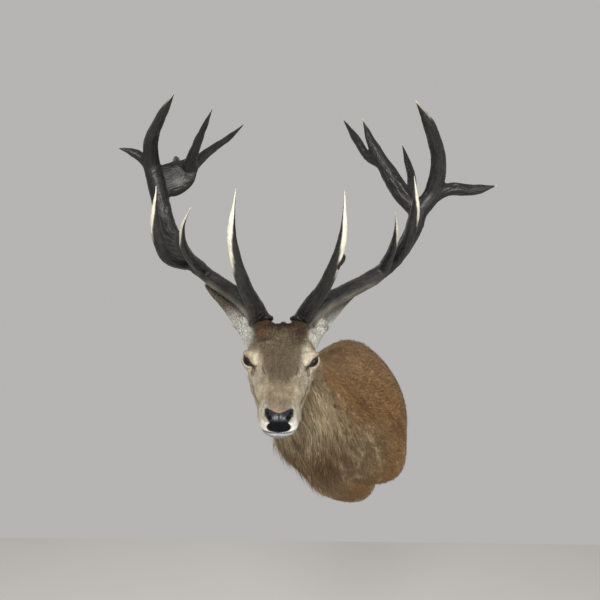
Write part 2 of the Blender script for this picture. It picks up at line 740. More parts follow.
# The mouth line, from the front of the lips back along the cheek.
MOUTH_LINE = np.array([(0.350, -0.025), (0.334, -0.029), (0.318, -0.035), (0.300, -0.041), (0.252, -0.052)])
MOUTH_CORNER = 0.252

# The nose is drawn as it looks from straight ahead, as places (out, up) in the head's frame. It is on
# the part of the face that lies beyond this place along the muzzle.
MUZZLE_FRONT = 0.27
# Each nostril is a comma: from its outer top, round its outer side, to its inner end.
NOSTRIL_PATH = np.array([(0.0275, -0.1920), (0.0268, -0.2000), (0.0205, -0.2055)])
NOSTRIL_WIDTH = 0.0040
NOSTRIL_DEPTH = 0.0092
PAD_TOP = (
    (0.0, -0.1945), (0.008, -0.1930), (0.018, -0.1885), (0.025, -0.1868), (0.030, -0.1882), (0.034, -0.1925),
)
# The pad's half width, from its waist up to its upper corners, and the round foot under the waist,
# as the height of its middle, its half width and its half height.
PAD_HALF_WIDTHS = (
    (-0.2180, 0.0208), (-0.2140, 0.0205), (-0.2095, 0.0245), (-0.2000, 0.0310), (-0.1860, 0.0330),
)
PAD_FOOT_OVAL = (-0.2250, 0.0264, 0.0122)
PAD_HEIGHT = 0.0012  # how far the pad stands off the skin
PAD_FOOT_POWER = 2.3  # 2 would be an ellipse
PAD_UPPER_FROM = (-0.2190, -0.2170)  # the heights between which the pad's upper part begins
PAD_WAIST = -0.2120
PAD_EDGE = 0.0012  # half the width over which the pad meets the hair
# Directions from the eyeball's middle as (out, fore, up): the gaze, and the eye's inner corner.
GAZE = (0.60, 0.78, -0.18)
INNER_CORNER = (-0.335, 0.667, -0.665)
LID_OVER = 0.0016  # how far the lids' edge stands off the eyeball
# Lids thicken by this away from their edge, the upper one by more.
LOWER_LID_THICKNESS = 0.0016
UPPER_LID_EXTRA = 0.0012
# Over the upper lid, at these angles beyond its edge: the crease, as its middle, half width and depth,
# and the fold under the brow, as its start, end and height.
LID_CREASE = (0.30, 0.07, 0.0022)
BROW_FOLD = (0.34, 0.60, 0.0028)


def eye_middle(side):
    return from_head(mirrored(EYE_PLACE, side))


def eye_axes(side):
    """The eyeball's middle, its gaze, the way to its inner corner, and its upward direction."""
    gaze = unit(head_vectors(mirrored(GAZE, side)))
    inner = head_vectors(mirrored(INNER_CORNER, side))
    inner = unit(inner - gaze * np.dot(inner, gaze))
    return eye_middle(side), gaze, inner, np.cross(gaze, inner) * -side


LID_CORNERS = (math.radians(62), math.radians(60))  # inner and outer, from the gaze
LID_HEIGHTS = (math.radians(28), math.radians(18))  # upper and lower
LID_POWERS = (1.9, 1.35, 1.6)  # along the opening, across it and overall: they point its corners


def lid_reach(inward, rise):
    """How far out a direction is from the middle of the eye's opening: 1 on the lids' edge."""
    corner = np.where(inward > 0, LID_CORNERS[0], LID_CORNERS[1])
    height = np.where(rise > 0, LID_HEIGHTS[0], LID_HEIGHTS[1])
    u, v = np.abs(inward) / corner, np.abs(rise) / height
    along, across, overall = LID_POWERS
    return (u**along + v**across) ** (1 / overall)


def eye_angles(points, side):
    """Distance from the eyeball's middle and ahead of it, and the angles inward and up from its gaze."""
    centre, gaze, inner, upward = eye_axes(side)
    offset = points - centre
    ahead = offset @ gaze
    inward, rise = (np.arctan2(offset @ axis, np.maximum(ahead, 1e-5)) for axis in (inner, upward))
    return lengths(offset), ahead, inward, rise


def shape_lids(points, side):
    """Lids that hug the eyeball round an opening pointed at its inner corner."""
    centre = eye_middle(side)
    distance, ahead, inward, rise = eye_angles(points, side)
    reach = lid_reach(inward, rise)
    beyond = np.hypot(inward, rise) * (1 - 1 / np.maximum(reach, 1))
    front = ramp(ahead, -0.006, 0.002) * (distance < 0.06)
    above = ramp(rise, -0.05, 0.15)
    thickness = (LOWER_LID_THICKNESS + UPPER_LID_EXTRA * above) * ramp(beyond, 0.0, 0.14)
    crease_at, crease_reach, crease_depth = LID_CREASE
    fold_start, fold_end, fold_height = BROW_FOLD
    lid = EYE_RADIUS + LID_OVER + thickness
    lid = lid - crease_depth * bump(beyond - crease_at, crease_reach) * above
    lid = lid + fold_height * ramp(beyond, fold_start, fold_end) * above
    outside = np.maximum(distance, lid) + 0.0012 * bump(distance - lid, 0.003)
    away = ramp(beyond, 0.22, 0.95)
    wanted = lid * (1 - away) + outside * away
    opening = ramp(reach, 1.10, 0.96)
    wanted = wanted * (1 - opening) + (EYE_RADIUS - 0.004) * opening
    new = distance + (wanted - distance) * front
    return centre + (points - centre) * (new / np.maximum(distance, 1e-6))[:, None]


def segment_distance(points, start, end):
    """Distance from a straight line between two points, and the place along it from 0 to 1."""
    line = np.asarray(end) - np.asarray(start)
    t = np.clip(((points - start) @ line) / np.dot(line, line), 0, 1)
    return lengths(points - start - t[:, None] * line), t


def tear_duct(face, side):
    """Distance from the slit that runs down the face from the eye's inner corner, and place along it."""
    start = to_face(eye_corner(side)[None])[0]
    return segment_distance(face, start, TEAR_END * np.array([1, 1, side]))


def fold_distance(face):
    """Distance, over the skin, from the fine folds that run down each cheek."""
    along, height, across = face.T
    top, _, half, widest, _ = head_section(along)
    round_it = np.arctan2((height - widest) / (top - widest), np.abs(across) / half)
    spread_out = np.stack([along, round_it * CHEEK_GIRTH], axis=1)
    nearest = np.full(len(face), 1.0)
    for start, end in CHEEK_FOLDS:
        low, high = (np.array((place, math.radians(angle) * CHEEK_GIRTH)) for place, angle in (start, end))
        nearest = np.minimum(nearest, segment_distance(spread_out, low, high)[0])
    return nearest


def eye_corner(side):
    """The inner corner of the eye's opening."""
    centre, gaze, inner, _ = eye_axes(side)
    angle = LID_CORNERS[0]
    return centre + (gaze * math.cos(angle) + inner * math.sin(angle)) * (EYE_RADIUS + LID_OVER)


def seen_from_ahead(face):
    """Places (out, up) in the head's frame, with those behind the muzzle's front moved far away."""
    along, height, across = face.T
    up = height * math.cos(FACE_PITCH) - along * math.sin(FACE_PITCH)
    return across, np.where(along > MUZZLE_FRONT, up, 1.0)


def nostril_distance(face, side):
    """Distance from a nostril's path as seen from ahead. Its lower stroke narrows towards its inner end."""
    seen = np.stack(seen_from_ahead(face), axis=1) * (side, 1)
    upper, _ = segment_distance(seen, NOSTRIL_PATH[0], NOSTRIL_PATH[1])
    lower, t = segment_distance(seen, NOSTRIL_PATH[1], NOSTRIL_PATH[2])
    return np.minimum(upper, lower / (1.15 - 0.3 * t))


def mouth_gap(face):
    """Signed height above the mouth line, and how much of a mouth there is at that place."""
    along, height, _ = face.T
    line = np.interp(-along, -MOUTH_LINE[:, 0], MOUTH_LINE[:, 1])
    return height - line, ramp(along, MOUTH_CORNER - 0.006, MOUTH_CORNER + 0.006)


def nose_pad(face):
    """1 on the bare black skin of the nose and 0 off it."""
    across, up = seen_from_ahead(face)
    across = np.abs(across)
    inside = ramp(across - look_up(PAD_HALF_WIDTHS, up), PAD_EDGE, -PAD_EDGE)
    inside = inside * ramp(up - look_up(PAD_TOP, across), PAD_EDGE, -PAD_EDGE)
    middle, wide, tall = PAD_FOOT_OVAL
    foot = (across / wide) ** PAD_FOOT_POWER + (np.abs(up - middle) / tall) ** PAD_FOOT_POWER
    return np.maximum(inside * ramp(up, *PAD_UPPER_FROM), ramp(foot, 1.12, 0.90))


def groove(distance, size):
    """The push that cuts a groove of that depth and half width."""
    depth, reach = size
    return -depth * bump(distance, reach)


def sculpt_face(skin):
    """Pushes the forms of the head in or out, then the mouth, nose, tear ducts and folds, then the lids."""
    mesh = skin.data
    points, normals = coordinates(mesh), coordinates(mesh, "normal")
    face = to_face(points)
    head = head_share(points)[:, None]
    push = np.zeros(len(points))
    for along, height, across, radius, amount in HEAD_FORMS:
        for side in SIDES if across else (1,):
            push += amount * bump(lengths(face - (along, height, across * side)), radius)
    push += FACE_COAT_DEPTH * 0.75 * ramp(face[:, 0], 0.20, 0.28)
    points = points + normals * (push[:, None] * head)

    face = to_face(points)
    gap, mouth = mouth_gap(face)
    push = groove(gap, MOUTH_GROOVE) * mouth
    push += sum(amount * bump(gap - place, reach) * mouth for place, reach, amount in LIP_SWELLINGS)
    pad = nose_pad(face)
    depth, reach = PAD_GROOVE
    push += PAD_HEIGHT * pad - depth * (bump(face[:, 2], reach) * pad * ramp(gap, 0, 0.003))
    for side in SIDES:
        nostril = nostril_distance(face, side)
        push += groove(nostril, (NOSTRIL_DEPTH, NOSTRIL_WIDTH))
        push += 0.0018 * bump(nostril - 2 * NOSTRIL_WIDTH, 0.003)
        slit, _ = tear_duct(face, side)
        push += groove(slit, TEAR_GROOVE)
        push += 0.0012 * bump(slit - 0.0065, 0.0030)
    push += groove(fold_distance(face), FOLD_GROOVE)
    points = points + normals * (push[:, None] * head)
    for side in SIDES:
        points = shape_lids(points, side)
    set_coordinates(mesh, points)


def recess_for_board(skin):
    """Cuts the back board's place out of the skin's back."""
    station = TRUNK_STATIONS[0].copy()
    station[5:8] -= BOARD_INSET - BOARD_PLAY  # half width, and reach above and below
    back, front = station.copy(), station.copy()
    back[1], front[1] = -0.02, BOARD_THICKNESS + BOARD_PLAY
    board = new_object("board", *tube_shell(body_rings(np.array([back, front]), steps=4, sides=96, grow=0)))
    combine(skin, board, "DIFFERENCE")


FINE_REACH = 0.036  # round eyes, tear ducts, nose and lips the skin's mesh is made finer
FINER_REACH = 0.030  # and again round eyes and nose
FINEST_REACH = 0.025  # and once more round the eyes


def build_skin():
    skin = raw_skin()
    add_ears(skin)
    soften_skin(skin)
    triangulate(skin.data)
    eyes = [eye_middle(side) for side in SIDES]
    corners = [eye_corner(side) for side in SIDES]
    muzzle = [from_face(0.326, -0.010, across) for across in (-0.020, 0.0, 0.020)]
    lips = [from_face(along, -0.045, across) for along in (0.275, 0.305) for across in (-0.036, 0.036)]
    refine(skin.data, eyes + muzzle + lips + corners, FINE_REACH)
    refine(skin.data, eyes + muzzle, FINER_REACH)
    sculpt_face(skin)
    refine(skin.data, eyes, FINEST_REACH)
    mesh = skin.data
    points = coordinates(mesh)
    for side in SIDES:
        points = shape_lids(points, side)
    near_eye = sum(bump(lengths(points - eye), 0.030) for eye in eyes)
    points = relax(points, edge_pairs(mesh), 0.25 * np.clip(near_eye, 0, 1), rounds=2)
    set_coordinates(mesh, points)
    recess_for_board(skin)
    return skin


# ---------------------------------------------------------------- markings of skin and coat

FOREHEAD = shade(118, 104, 84)
FOREHEAD_SWIRL = shade(82, 66, 54)
FOREHEAD_PALE = shade(158, 136, 112)
BURR_ORANGE = shade(102, 74, 48)
POLL_BROWN = shade(70, 55, 44)
CREAM = shade(199, 190, 172)
BRIDGE = shade(162, 146, 122)
CHEEK = shade(174, 156, 126)
JAW_TAN = shade(152, 124, 86)
CHIN = shade(166, 166, 168)
LIP_WHITE = shade(222, 219, 212)
ABOVE_PAD = shade(124, 110, 94)
PAD_BLACK = shade(26, 28, 33)
PAD_FOOT = shade(15, 15, 17)
TEAR_BROWN = shade(84, 66, 54)
LOWER_LID = shade(186, 168, 150)
LIP_LINE = shade(60, 48, 44)
EAR_PALE = shade(204, 201, 192)
EAR_DUSK = {1: 0.35, -1: 0.9}  # how much each ear darkens towards its tip
EAR_EDGE = shade(116, 100, 84)
EAR_BACK = shade(130, 110, 84)
NECK_BROWN = shade(151, 117, 78)
NECK_RED = shade(168, 137, 102)
NECK_OLIVE = shade(141, 125, 99)
THROAT_CREAM = shade(184, 167, 136)
THROAT_DARK = shade(74, 46, 22)
THROAT_RUST = shade(100, 68, 34)
EDGE_DARK = shade(122, 95, 66)

# Patches on the body's coat: place and reach, both as (forward, rise) in the body's sections.
CREAM_BESIDE_CHEEK = ((0.54, 0.1), (0.055, 0.6))
RUST_LOW_FRONT = ((0.33, -0.85), (0.075, 0.42))

# The dark blaze of the forehead and nose bone: places along the muzzle, and half its width there.
BLAZE = (
    (-0.03, 0.075), (0.03, 0.066), (0.10, 0.054), (0.14, 0.044), (0.18, 0.031), (0.22, 0.020), (0.26, 0.008),
)
PALE_BELOW_EYE = (0.168, -0.040, 0.062)  # the pale patch under each eye, in the face's frame
PALE_BELOW_EYE_REACH = (0.036, 0.03, 0.022)

# Streaks in the coat run this way, on the body and on the face.
BODY_STREAKS = np.array([0.05, 0.72, -0.69])
FACE_STREAKS = head_vectors((0, math.cos(FACE_PITCH), -math.sin(FACE_PITCH)))

# Patches on the forehead: colour, share, place and reach, the last two as (along, across).
FACE_PATCHES = [
    (BURR_ORANGE, 0.90, (0.043, -0.042), (0.013, 0.019)),
    (POLL_BROWN, 0.90, (0.042, 0.042), (0.012, 0.018)),
    (POLL_BROWN, 0.60, (0.032, -0.040), (0.006, 0.014)),
    (BURR_ORANGE, 0.45, (0.042, 0.062), (0.008, 0.012)),
    (POLL_BROWN * 0.75, 0.90, (0.020, 0.000), (0.022, 0.034)),
    (FOREHEAD_PALE, 0.80, (0.067, 0.002), (0.010, 0.020)),
    (FOREHEAD_SWIRL, 0.90, (0.069, -0.042), (0.007, 0.018)),
    (FOREHEAD_SWIRL, 0.90, (0.064, 0.036), (0.007, 0.015)),
    (FOREHEAD_PALE, 0.70, (0.083, -0.024), (0.006, 0.022)),
    (FOREHEAD, 0.85, (0.088, -0.064), (0.022, 0.015)),
    (CREAM, 0.25, (0.118, -0.062), (0.014, 0.012)),
    (CREAM, 0.95, (0.100, 0.066), (0.022, 0.014)),
]


def oval_patch(first, second, place, reach):
    """1 at a place on a map with two coordinates, and falling to about 0 at twice the reach."""
    return bump(np.hypot((first - place[0]) / reach[0], (second - place[1]) / reach[1]), 1.0)


def blend(base, colour, share):
    return base + (colour - base) * np.clip(share, 0, 1)[:, None]


def streaks(points, direction, size, seed, stretch=0.78):
    """Noise drawn out along a direction."""
    return fractal(points - direction * dot(points, direction) * stretch, size, seed)


def body_markings(points):
    """Brown reddening above and at the wall, olive below, cream and rust on the throat, and streaks."""
    forward, side, rise, _ = to_body(points)
    wide = np.abs(side)
    colour = blend(NECK_BROWN, NECK_RED, ramp(rise, 0.25, 0.85) * 0.7)
    colour = blend(colour, NECK_RED, 0.8 * ramp(forward, 0.10, 0.01))
    patchy = fractal(points, 0.07, 5)
    olive = ramp(rise, 0.05, -0.50) * ramp(forward, 0.09, 0.21)
    colour = blend(colour, NECK_OLIVE, olive * (0.75 + 0.5 * patchy))
    throat = ramp(rise, 0.0, -0.55) * ramp(forward, 0.33, 0.45) * (0.7 + 0.4 * patchy)
    colour = blend(colour, THROAT_CREAM, throat)
    side_cream = oval_patch(forward, rise, *CREAM_BESIDE_CHEEK) * ramp(wide, 0.5, 0.9)
    colour = blend(colour, THROAT_CREAM * 1.15, 0.95 * side_cream)
    low_front = oval_patch(forward, rise, *RUST_LOW_FRONT) * ramp(wide, 0.9, 0.3)
    colour = blend(colour, THROAT_RUST, 1.25 * low_front * (0.85 + 0.6 * patchy))
    low_edge = ramp(rise, -0.75, -1.0) * ramp(forward, 0.20, 0.02)
    colour = blend(colour, EDGE_DARK, 0.3 * low_edge)
    fine = streaks(points, BODY_STREAKS, 0.007, 11)
    broad = streaks(points, BODY_STREAKS, 0.022, 12)
    pale = ramp(broad + 0.6 * fine, 0.25, 0.75) * (0.25 + 0.5 * (olive + throat + side_cream))
    colour = blend(colour, THROAT_CREAM * 1.1, 0.65 * (pale * (1 - 0.8 * low_front)))
    dark = ramp(-broad + 0.6 * fine, 0.30, 0.80) * (0.2 + 0.45 * (olive + throat + low_front))
    colour = blend(colour, THROAT_DARK, 0.7 * dark)
    return colour * (1 + 0.16 * patchy + 0.24 * broad + 0.30 * fine)[:, None]


def face_markings(points):
    """The head's colours, each laid over the last: cheeks, forehead, eyes, muzzle, lips and nose."""
    face = to_face(points)
    along, height, signed = face.T
    across = np.abs(signed)
    patchy = fractal(points, 0.022, 21)
    fine = streaks(points, FACE_STREAKS, 0.0045, 22)
    top = ramp(height, -0.075, -0.02)
    colour = blend(CHEEK, CREAM, 0.45 + 0.5 * patchy)
    behind_eye = ramp(along, 0.085, 0.055) * ramp(height, -0.005, -0.03)
    colour = blend(colour, NECK_BROWN, 0.8 * behind_eye)
    bridge = ramp(across, 0.042, 0.022) * ramp(along, 0.14, 0.2) * top
    colour = blend(colour, BRIDGE, bridge)
    half = look_up(BLAZE, along) * (1 + 0.20 * patchy)
    dark = ramp(across, half * 1.12, half * 0.82) * ramp(along, 0.265, 0.19) * top
    colour = blend(colour, FOREHEAD, dark)
    swirls = ramp(fractal(points, 0.016, 24, 2), 0.0, 0.45) * ramp(along, 0.105, 0.065)
    colour = blend(colour, FOREHEAD_SWIRL, 0.45 * swirls * dark)
    poll = np.maximum(ramp(along, 0.024, 0.002) * ramp(across, 0.070, 0.050), stalk_share(points))
    colour = blend(colour, POLL_BROWN, 0.92 * poll)
    for tone, share, place, reach in FACE_PATCHES:
        there = share * oval_patch(along, signed, place, reach) * top
        colour = blend(colour, tone, there * (1 + 0.8 * patchy))
    jaw_side = ramp(height, -0.045, -0.075) * ramp(along, 0.13, 0.17)
    _, _, girth, _, _ = head_section(along)
    cheek_edge = ramp(across / girth, 0.84, 0.98) * bump(along - 0.19, 0.055)
    colour = blend(colour, JAW_TAN, np.maximum(0.7 * jaw_side, 0.45 * cheek_edge))
    for side in SIDES:
        below = lengths((face - PALE_BELOW_EYE * np.array([1, 1, side])) / PALE_BELOW_EYE_REACH)
        colour = blend(colour, CREAM, 0.7 * bump(below, 1.0))
        slit, t = tear_duct(face, side)
        colour = blend(colour, TEAR_BROWN, bump(slit, 0.0062 - 0.0022 * t))
        distance, ahead, inward, rise = eye_angles(points, side)
        reach = lid_reach(inward, rise)
        near_lids = (distance < 0.030) * (ahead > 0)
        upper = ramp(rise, -0.10, 0.10)
        colour = blend(colour, LOWER_LID, 0.6 * bump(reach - 1.30, 0.20) * near_lids * (1 - upper))
        colour = blend(colour, TEAR_BROWN * 0.5, bump(reach - 1.0, 0.10 + 0.22 * upper) * near_lids)
    colour = blend(colour, TEAR_BROWN, 0.85 * bump(fold_distance(face), 0.0032))
    band = ramp(along, 0.262, 0.292) * ramp(height, -0.070, -0.045)
    side_band = band * ramp(across + 0.3 * (along - 0.30), 0.014, 0.026)
    colour = blend(colour, CREAM * 0.86, side_band)
    above_pad = ramp(across, 0.034, 0.020) * ramp(along, 0.266, 0.288) * top
    colour = blend(colour, ABOVE_PAD, 0.75 * above_pad)
    gap, mouth = mouth_gap(face)
    colour = blend(colour, CHIN, ramp(gap, 0.001, -0.003) * ramp(along, 0.235, 0.275))
    lips = ramp(along, 0.308, 0.322) * ramp(gap, 0.034, 0.022) * ramp(gap, -0.001, 0.002)
    colour = blend(colour, LIP_WHITE, lips)
    jaw = ramp(height, -0.085, -0.115) * ramp(along, 0.25, 0.20)
    colour = blend(colour, THROAT_CREAM, 0.8 * jaw)
    colour = colour * (1 + 0.20 * patchy + 0.26 * fine)[:, None]
    colour = blend(colour, LIP_LINE, bump(gap, 0.0026) * mouth * 0.95)
    upper = ramp(seen_from_ahead(face)[1], PAD_WAIST - 0.003, PAD_WAIST + 0.003)
    colour = blend(colour, blend(PAD_FOOT, PAD_BLACK, upper), bare_skin(points))
    hollow = np.minimum(nostril_distance(face, 1), nostril_distance(face, -1))
    return blend(colour, PAD_FOOT * 0.4, bump(hollow, NOSTRIL_WIDTH))


def ear_markings(points, colour):
    """The given colours, with those of the ears and their bases laid over them."""
    for side in SIDES:
        t, x, _, _ = ear_places(points, side)
        inside = ear_inside(points, side)
        grain = fractal(points, 0.012, 26, 2)
        tone = blend(EAR_BACK, EAR_PALE, ramp(inside, -0.2, 0.5))
        border = ramp(np.abs(x) + 0.5 * t, 1.05, 1.35) * ramp(inside, -0.2, 0.5)
        tone = blend(tone, EAR_EDGE, 0.7 * border) * (1 + 0.12 * grain)[:, None]
        tone = blend(tone, EAR_EDGE * 0.8, EAR_DUSK[side] * ramp(t, 0.20, 0.62))
        root, _, _, facing, _ = ear_axes(side)
        front = ramp((points - root) @ facing, -0.020, -0.002)
        base = ear_base_share(points, side) * ramp(to_face(points)[:, 2] * side, 0.052, 0.070)
        colour = blend(colour, blend(EAR_BACK, EAR_PALE, front), base)
        colour = blend(colour, tone, ear_share(points, side, 0.016))
    return colour


def ear_inside(points, side):
    """From -1 on the back of the ear to 1 in its hollow."""
    return np.clip(ear_places(points, side)[2] / 0.002, -1, 1)


def bare_skin(points):
    """1 where the skin is black and bare, on the nose pad and in the nostrils."""
    face = to_face(points)
    share = nose_pad(face)
    for side in SIDES:
        share = np.maximum(share, bump(nostril_distance(face, side), NOSTRIL_WIDTH) * 1.2)
    return np.clip(share, 0, 1)


def markings(points):
    share = head_share(points)
    head = share[:, None]
    colour = body_markings(points) * (1 - head) + face_markings(points) * head
    jaw_edge = 4 * share * (1 - share) * ramp(to_face(points)[:, 1], -0.035, -0.065)
    colour = blend(colour, THROAT_DARK, 0.2 * jaw_edge)
    return ear_markings(points, colour)


# ---------------------------------------------------------------- lie of the coat


def lie_of_coat(points, normals):
    """The direction in which the hair lies at each point, along the skin."""
    face = to_face(points)
    height = face[:, 1]
    backward = np.zeros_like(points)
    backward[:, 1] = -1
    backward[:, 2] = 0.85 * ramp(height, -0.07, 0.0) - 0.35 * ramp(height, -0.07, -0.13)
    backward[:, 0] = 0.35 * np.sign(face[:, 2]) * ramp(np.abs(face[:, 2]), 0.0, 0.05)
    on_head = head_vectors(backward)
    _, side, rise, tilt = to_body(points)
    on_body = np.zeros_like(points)
    on_body[:, 1] = np.cos(np.radians(tilt))
    on_body[:, 2] = -np.sin(np.radians(tilt)) - 0.45 - 0.45 * ramp(rise, 0.2, -0.8)
    on_body[:, 0] = -0.15 * np.sign(side) * ramp(rise, -0.3, -0.9)
    head = head_share(points)[:, None]
    flow = unit(on_head) * head + unit(on_body) * (1 - head)
    stalk = stalk_share(points)[:, None]
    flow = flow * (1 - stalk) + np.array([0, 0.25, 1.0]) * stalk
    for ear_side in SIDES:
        on_ear, on_base = ear_share(points, ear_side, 0.016), ear_base_share(points, ear_side)
        share = np.maximum(on_ear, 0.9 * on_base)[:, None]
        flow = flow * (1 - share) + ear_axes(ear_side)[2] * share
    sway = np.cross(normals, flow)
    curly = head_share(points) * ramp(face[:, 0], 0.085, 0.03) * ramp(height, -0.05, -0.02)
    flow = flow + sway * (0.22 * noise(points, 0.05, 41) + 0.12 * noise(points, 0.017, 42))[:, None]
    flow = flow + sway * (1.2 * curly * noise(points, 0.020, 43))[:, None]
    return unit(flow - normals * dot(flow, normals))


# ---------------------------------------------------------------- tufts

PATCH = 0.003  # width of a tuft's patch on the coat's map
WALL_GAP = 0.0006  # no hair comes nearer to the wall
TUFT_SINK = 0.0015  # how far a root sits under the skin
TUFT_WIDEST = 0.36  # where along a tuft it is widest
TUFT_THICKNESS = 0.32  # how thick it is there, over its width
TUFT_RISE = (0, 0.72, 0.92)  # its height at root, widest place and tip
TUFT_SHADES = (0.72, 0.98, 1.10)  # and how bright it is there
TUFT_BEND = 0.10  # spread of the tips' sideways bends, over the tufts' lengths
SEED = 20


def tuft_template(rings):
    """A closed blade: a root point, three-cornered rings and a tip, as (along, across, thick)."""
    points = [(0, 0, 0)]
    for along, width, thick in rings:
        points += [(along, -width / 2, 0), (along, width / 2, 0), (along, 0, thick)]
    points.append((1, 0, 0))
    faces = []
    tip = len(points) - 1
    for a, b in ((1, 2), (2, 0), (0, 1)):
        faces.append((0, 1 + a, 1 + b))
        for ring in range(len(rings) - 1):
            near, far = 1 + 3 * ring, 4 + 3 * ring
            faces += [(near + a, far + a, far + b), (near + a, far + b, near + b)]
        last = 1 + 3 * (len(rings) - 1)
        faces.append((tip, last + b, last + a))
    return np.array(points, float), np.array(faces)


TUFT = tuft_template([(TUFT_WIDEST, 1.0, TUFT_THICKNESS)])


def scatter(mesh, density, count, rng):
    """Random places on a mesh, as points and smooth normals, more of them where density is higher."""
    mesh.calc_loop_triangles()
    corners = np.empty(len(mesh.loop_triangles) * 3, np.int32)
    mesh.loop_triangles.foreach_get("vertices", corners)
    corners = corners.reshape(-1, 3)
    points, normals = coordinates(mesh), coordinates(mesh, "normal")
    a, b, c = (points[corners[:, k]] for k in range(3))
    area = lengths(np.cross(b - a, c - a)) / 2
    weight = area * density[corners].mean(axis=1)
    chosen = np.searchsorted(np.cumsum(weight), rng.random(count) * weight.sum())
    chosen = np.minimum(chosen, len(corners) - 1)
    u, v = rng.random((2, count))
    over = u + v > 1
    u, v = np.where(over, 1 - u, u), np.where(over, 1 - v, v)
    share = np.stack([1 - u - v, u, v], axis=1)[..., None]
    places = (points[corners[chosen]] * share).sum(axis=1)
    return places, unit((normals[corners[chosen]] * share).sum(axis=1))


def build_tufts(name, roots, normals, flow, sizes, colours, patches, rng):
    """One piece of coat: a tuft at each root. sizes holds each tuft's length, width and height."""
    shape, faces = TUFT
    along, across, thick = (shape[:, k][None, :, None] for k in range(3))
    length, width, height = (sizes[:, k][:, None, None] for k in range(3))
    count = len(roots)
    sideways = np.cross(flow, normals)[:, None]
    bend = rng.normal(0, TUFT_BEND, count)[:, None, None]
    rise = np.interp(along, (0, TUFT_WIDEST, 1), TUFT_RISE)
    points = (
        roots[:, None]
        + flow[:, None] * (along * length)
        + normals[:, None] * (rise * height - TUFT_SINK * (1 - along) ** 2 + thick * width)
        + sideways * (across * width + bend * along**2 * length)
    )
    points[..., 1] = np.minimum(points[..., 1], -WALL_GAP)
    index = faces[None] + (np.arange(count) * len(shape))[:, None, None]
    obj = new_object(name, points.reshape(-1, 3), index.reshape(-1, 3))
    fade = np.interp(shape[:, 0], (0, TUFT_WIDEST, 1), TUFT_SHADES)[None, :, None]
    paint(obj, (colours[:, None] * fade).reshape(-1, 3))
    layer = obj.data.uv_layers.new(name="OFBake")
    offset = np.stack([shape[:, 1] * PATCH, (shape[:, 0] - 0.5) * PATCH], axis=-1)
    places = (patches[:, None] + offset[None])[:, faces.reshape(-1)]
    layer.data.foreach_set("uv", places.astype(np.float32).ravel())
    return obj


def unwrap_body(points):
    """Places on a map of the body: round it, and along it from the wall."""
    forward, side, rise, _ = to_body(points)
    return spread(np.arctan2(side, rise), forward)


def unwrap_face(points):
    along, height, across = to_face(points).T
    return spread(np.arctan2(across, height + 0.05), along)


def unwrap_ear(points, side):
    t, x, _, half = ear_places(points, side)
    behind = ear_inside(points, side) < 0
    return spread(x * half + 0.12 * behind, t)


def spread(across, along):
    """Both coordinates stretched over the map, with room for a tuft's patch at its edges."""
    both = np.stack([across, along], axis=-1)
    low, high = both.min(axis=0), both.max(axis=0)
    return PATCH * 2 + (both - low) / (high - low) * (1 - 4 * PATCH)


BODY_TUFTS = 132000
FACE_TUFTS = 88000
EAR_TUFTS = 10000
MOST_TRIANGLES = 195000  # in one piece of the coat

# Lengths of hair: on the body, on the face as (place along the muzzle, length), and on the ears.
BODY_HAIR = 0.022
THROAT_HAIR_EXTRA = 0.012
FACE_HAIR = ((-0.03, 0.017), (0.02, 0.013), (0.08, 0.010), (0.16, 0.008), (0.26, 0.0065), (0.32, 0.0045))
JAW_HAIR_EXTRA = 0.008
EAR_HAIR = 0.008
EAR_HOLLOW_EXTRA = 0.006


def body_sizes(points, rng):
    forward, _, rise, _ = to_body(points)
    throat = ramp(rise, 0.0, -0.8) * ramp(forward, 0.16, 0.34)
    length = BODY_HAIR + THROAT_HAIR_EXTRA * throat + 0.003 * noise(points, 0.03, 51)
    length *= rng.uniform(0.75, 1.2, len(points))
    width = rng.uniform(0.0009, 0.0019, len(points))
    height = BODY_COAT_DEPTH * rng.uniform(0.45, 0.92, len(points)) * (1 + 0.25 * throat)
    stray = (rng.random(len(points)) < 0.07 + 0.08 * throat) * (0.4 + 0.6 * throat)
    locks = throat * ramp(noise(points, 0.018, 52), 0.0, 0.6)
    near_wall = ramp(forward, 0.045, 0.012)
    for share, higher, longer in ((stray, 0.9, 0.6), (locks, 0.8, 0.5), (near_wall, -0.4, -0.4)):
        height *= 1 + higher * share
        length *= 1 + longer * share
    return np.stack([length, width, height], axis=-1)


def face_sizes(points, rng):
    along, height, _ = to_face(points).T
    length = look_up(FACE_HAIR, along) + JAW_HAIR_EXTRA * ramp(height, -0.09, -0.14)
    length = length * (1 - 0.4 * stalk_share(points)) * rng.uniform(0.75, 1.2, len(points))
    width = length * rng.uniform(0.05, 0.085, len(points)) + 0.0002
    for side in SIDES:
        near_eye = ramp(lengths(points - eye_middle(side)), 0.044, 0.027)
        length = length * (1 - 0.58 * near_eye)
    poll = ramp(along, 0.045, 0.015) * ramp(height, -0.06, -0.03)
    depth = length * rng.uniform(0.14, 0.34, len(points)) * (1 + 0.8 * poll) + 0.0003
    return np.stack([length, width, depth], axis=-1)


def stalk_share(points):
    """1 on the haired stalks under the antlers, and 0 off them."""
    share = np.zeros(len(points))
    for antler in ANTLERS.values():
        burr, lean = antler_foot(antler)
        up = (points - burr) @ lean
        off = lengths(points - burr - up[:, None] * lean)
        share = np.maximum(share, ramp(up, -0.030, -0.018) * ramp(off, 0.046, 0.038))
    return share


def ear_sizes(points, rng):
    left, right = (ear_inside(points, side) * ear_share(points, side) for side in SIDES)
    length = EAR_HAIR + EAR_HOLLOW_EXTRA * ramp(np.maximum(left, right), 0.2, 0.9)
    length = length * rng.uniform(0.7, 1.2, len(points))
    width = length * 0.06 + 0.0003
    return np.stack([length, width, 0.0014 * rng.uniform(0.4, 1.0, len(points))], axis=-1)


LOCK_TONE = 0.28  # how much locks differ in brightness
TUFT_TONE = 0.10  # and single tufts


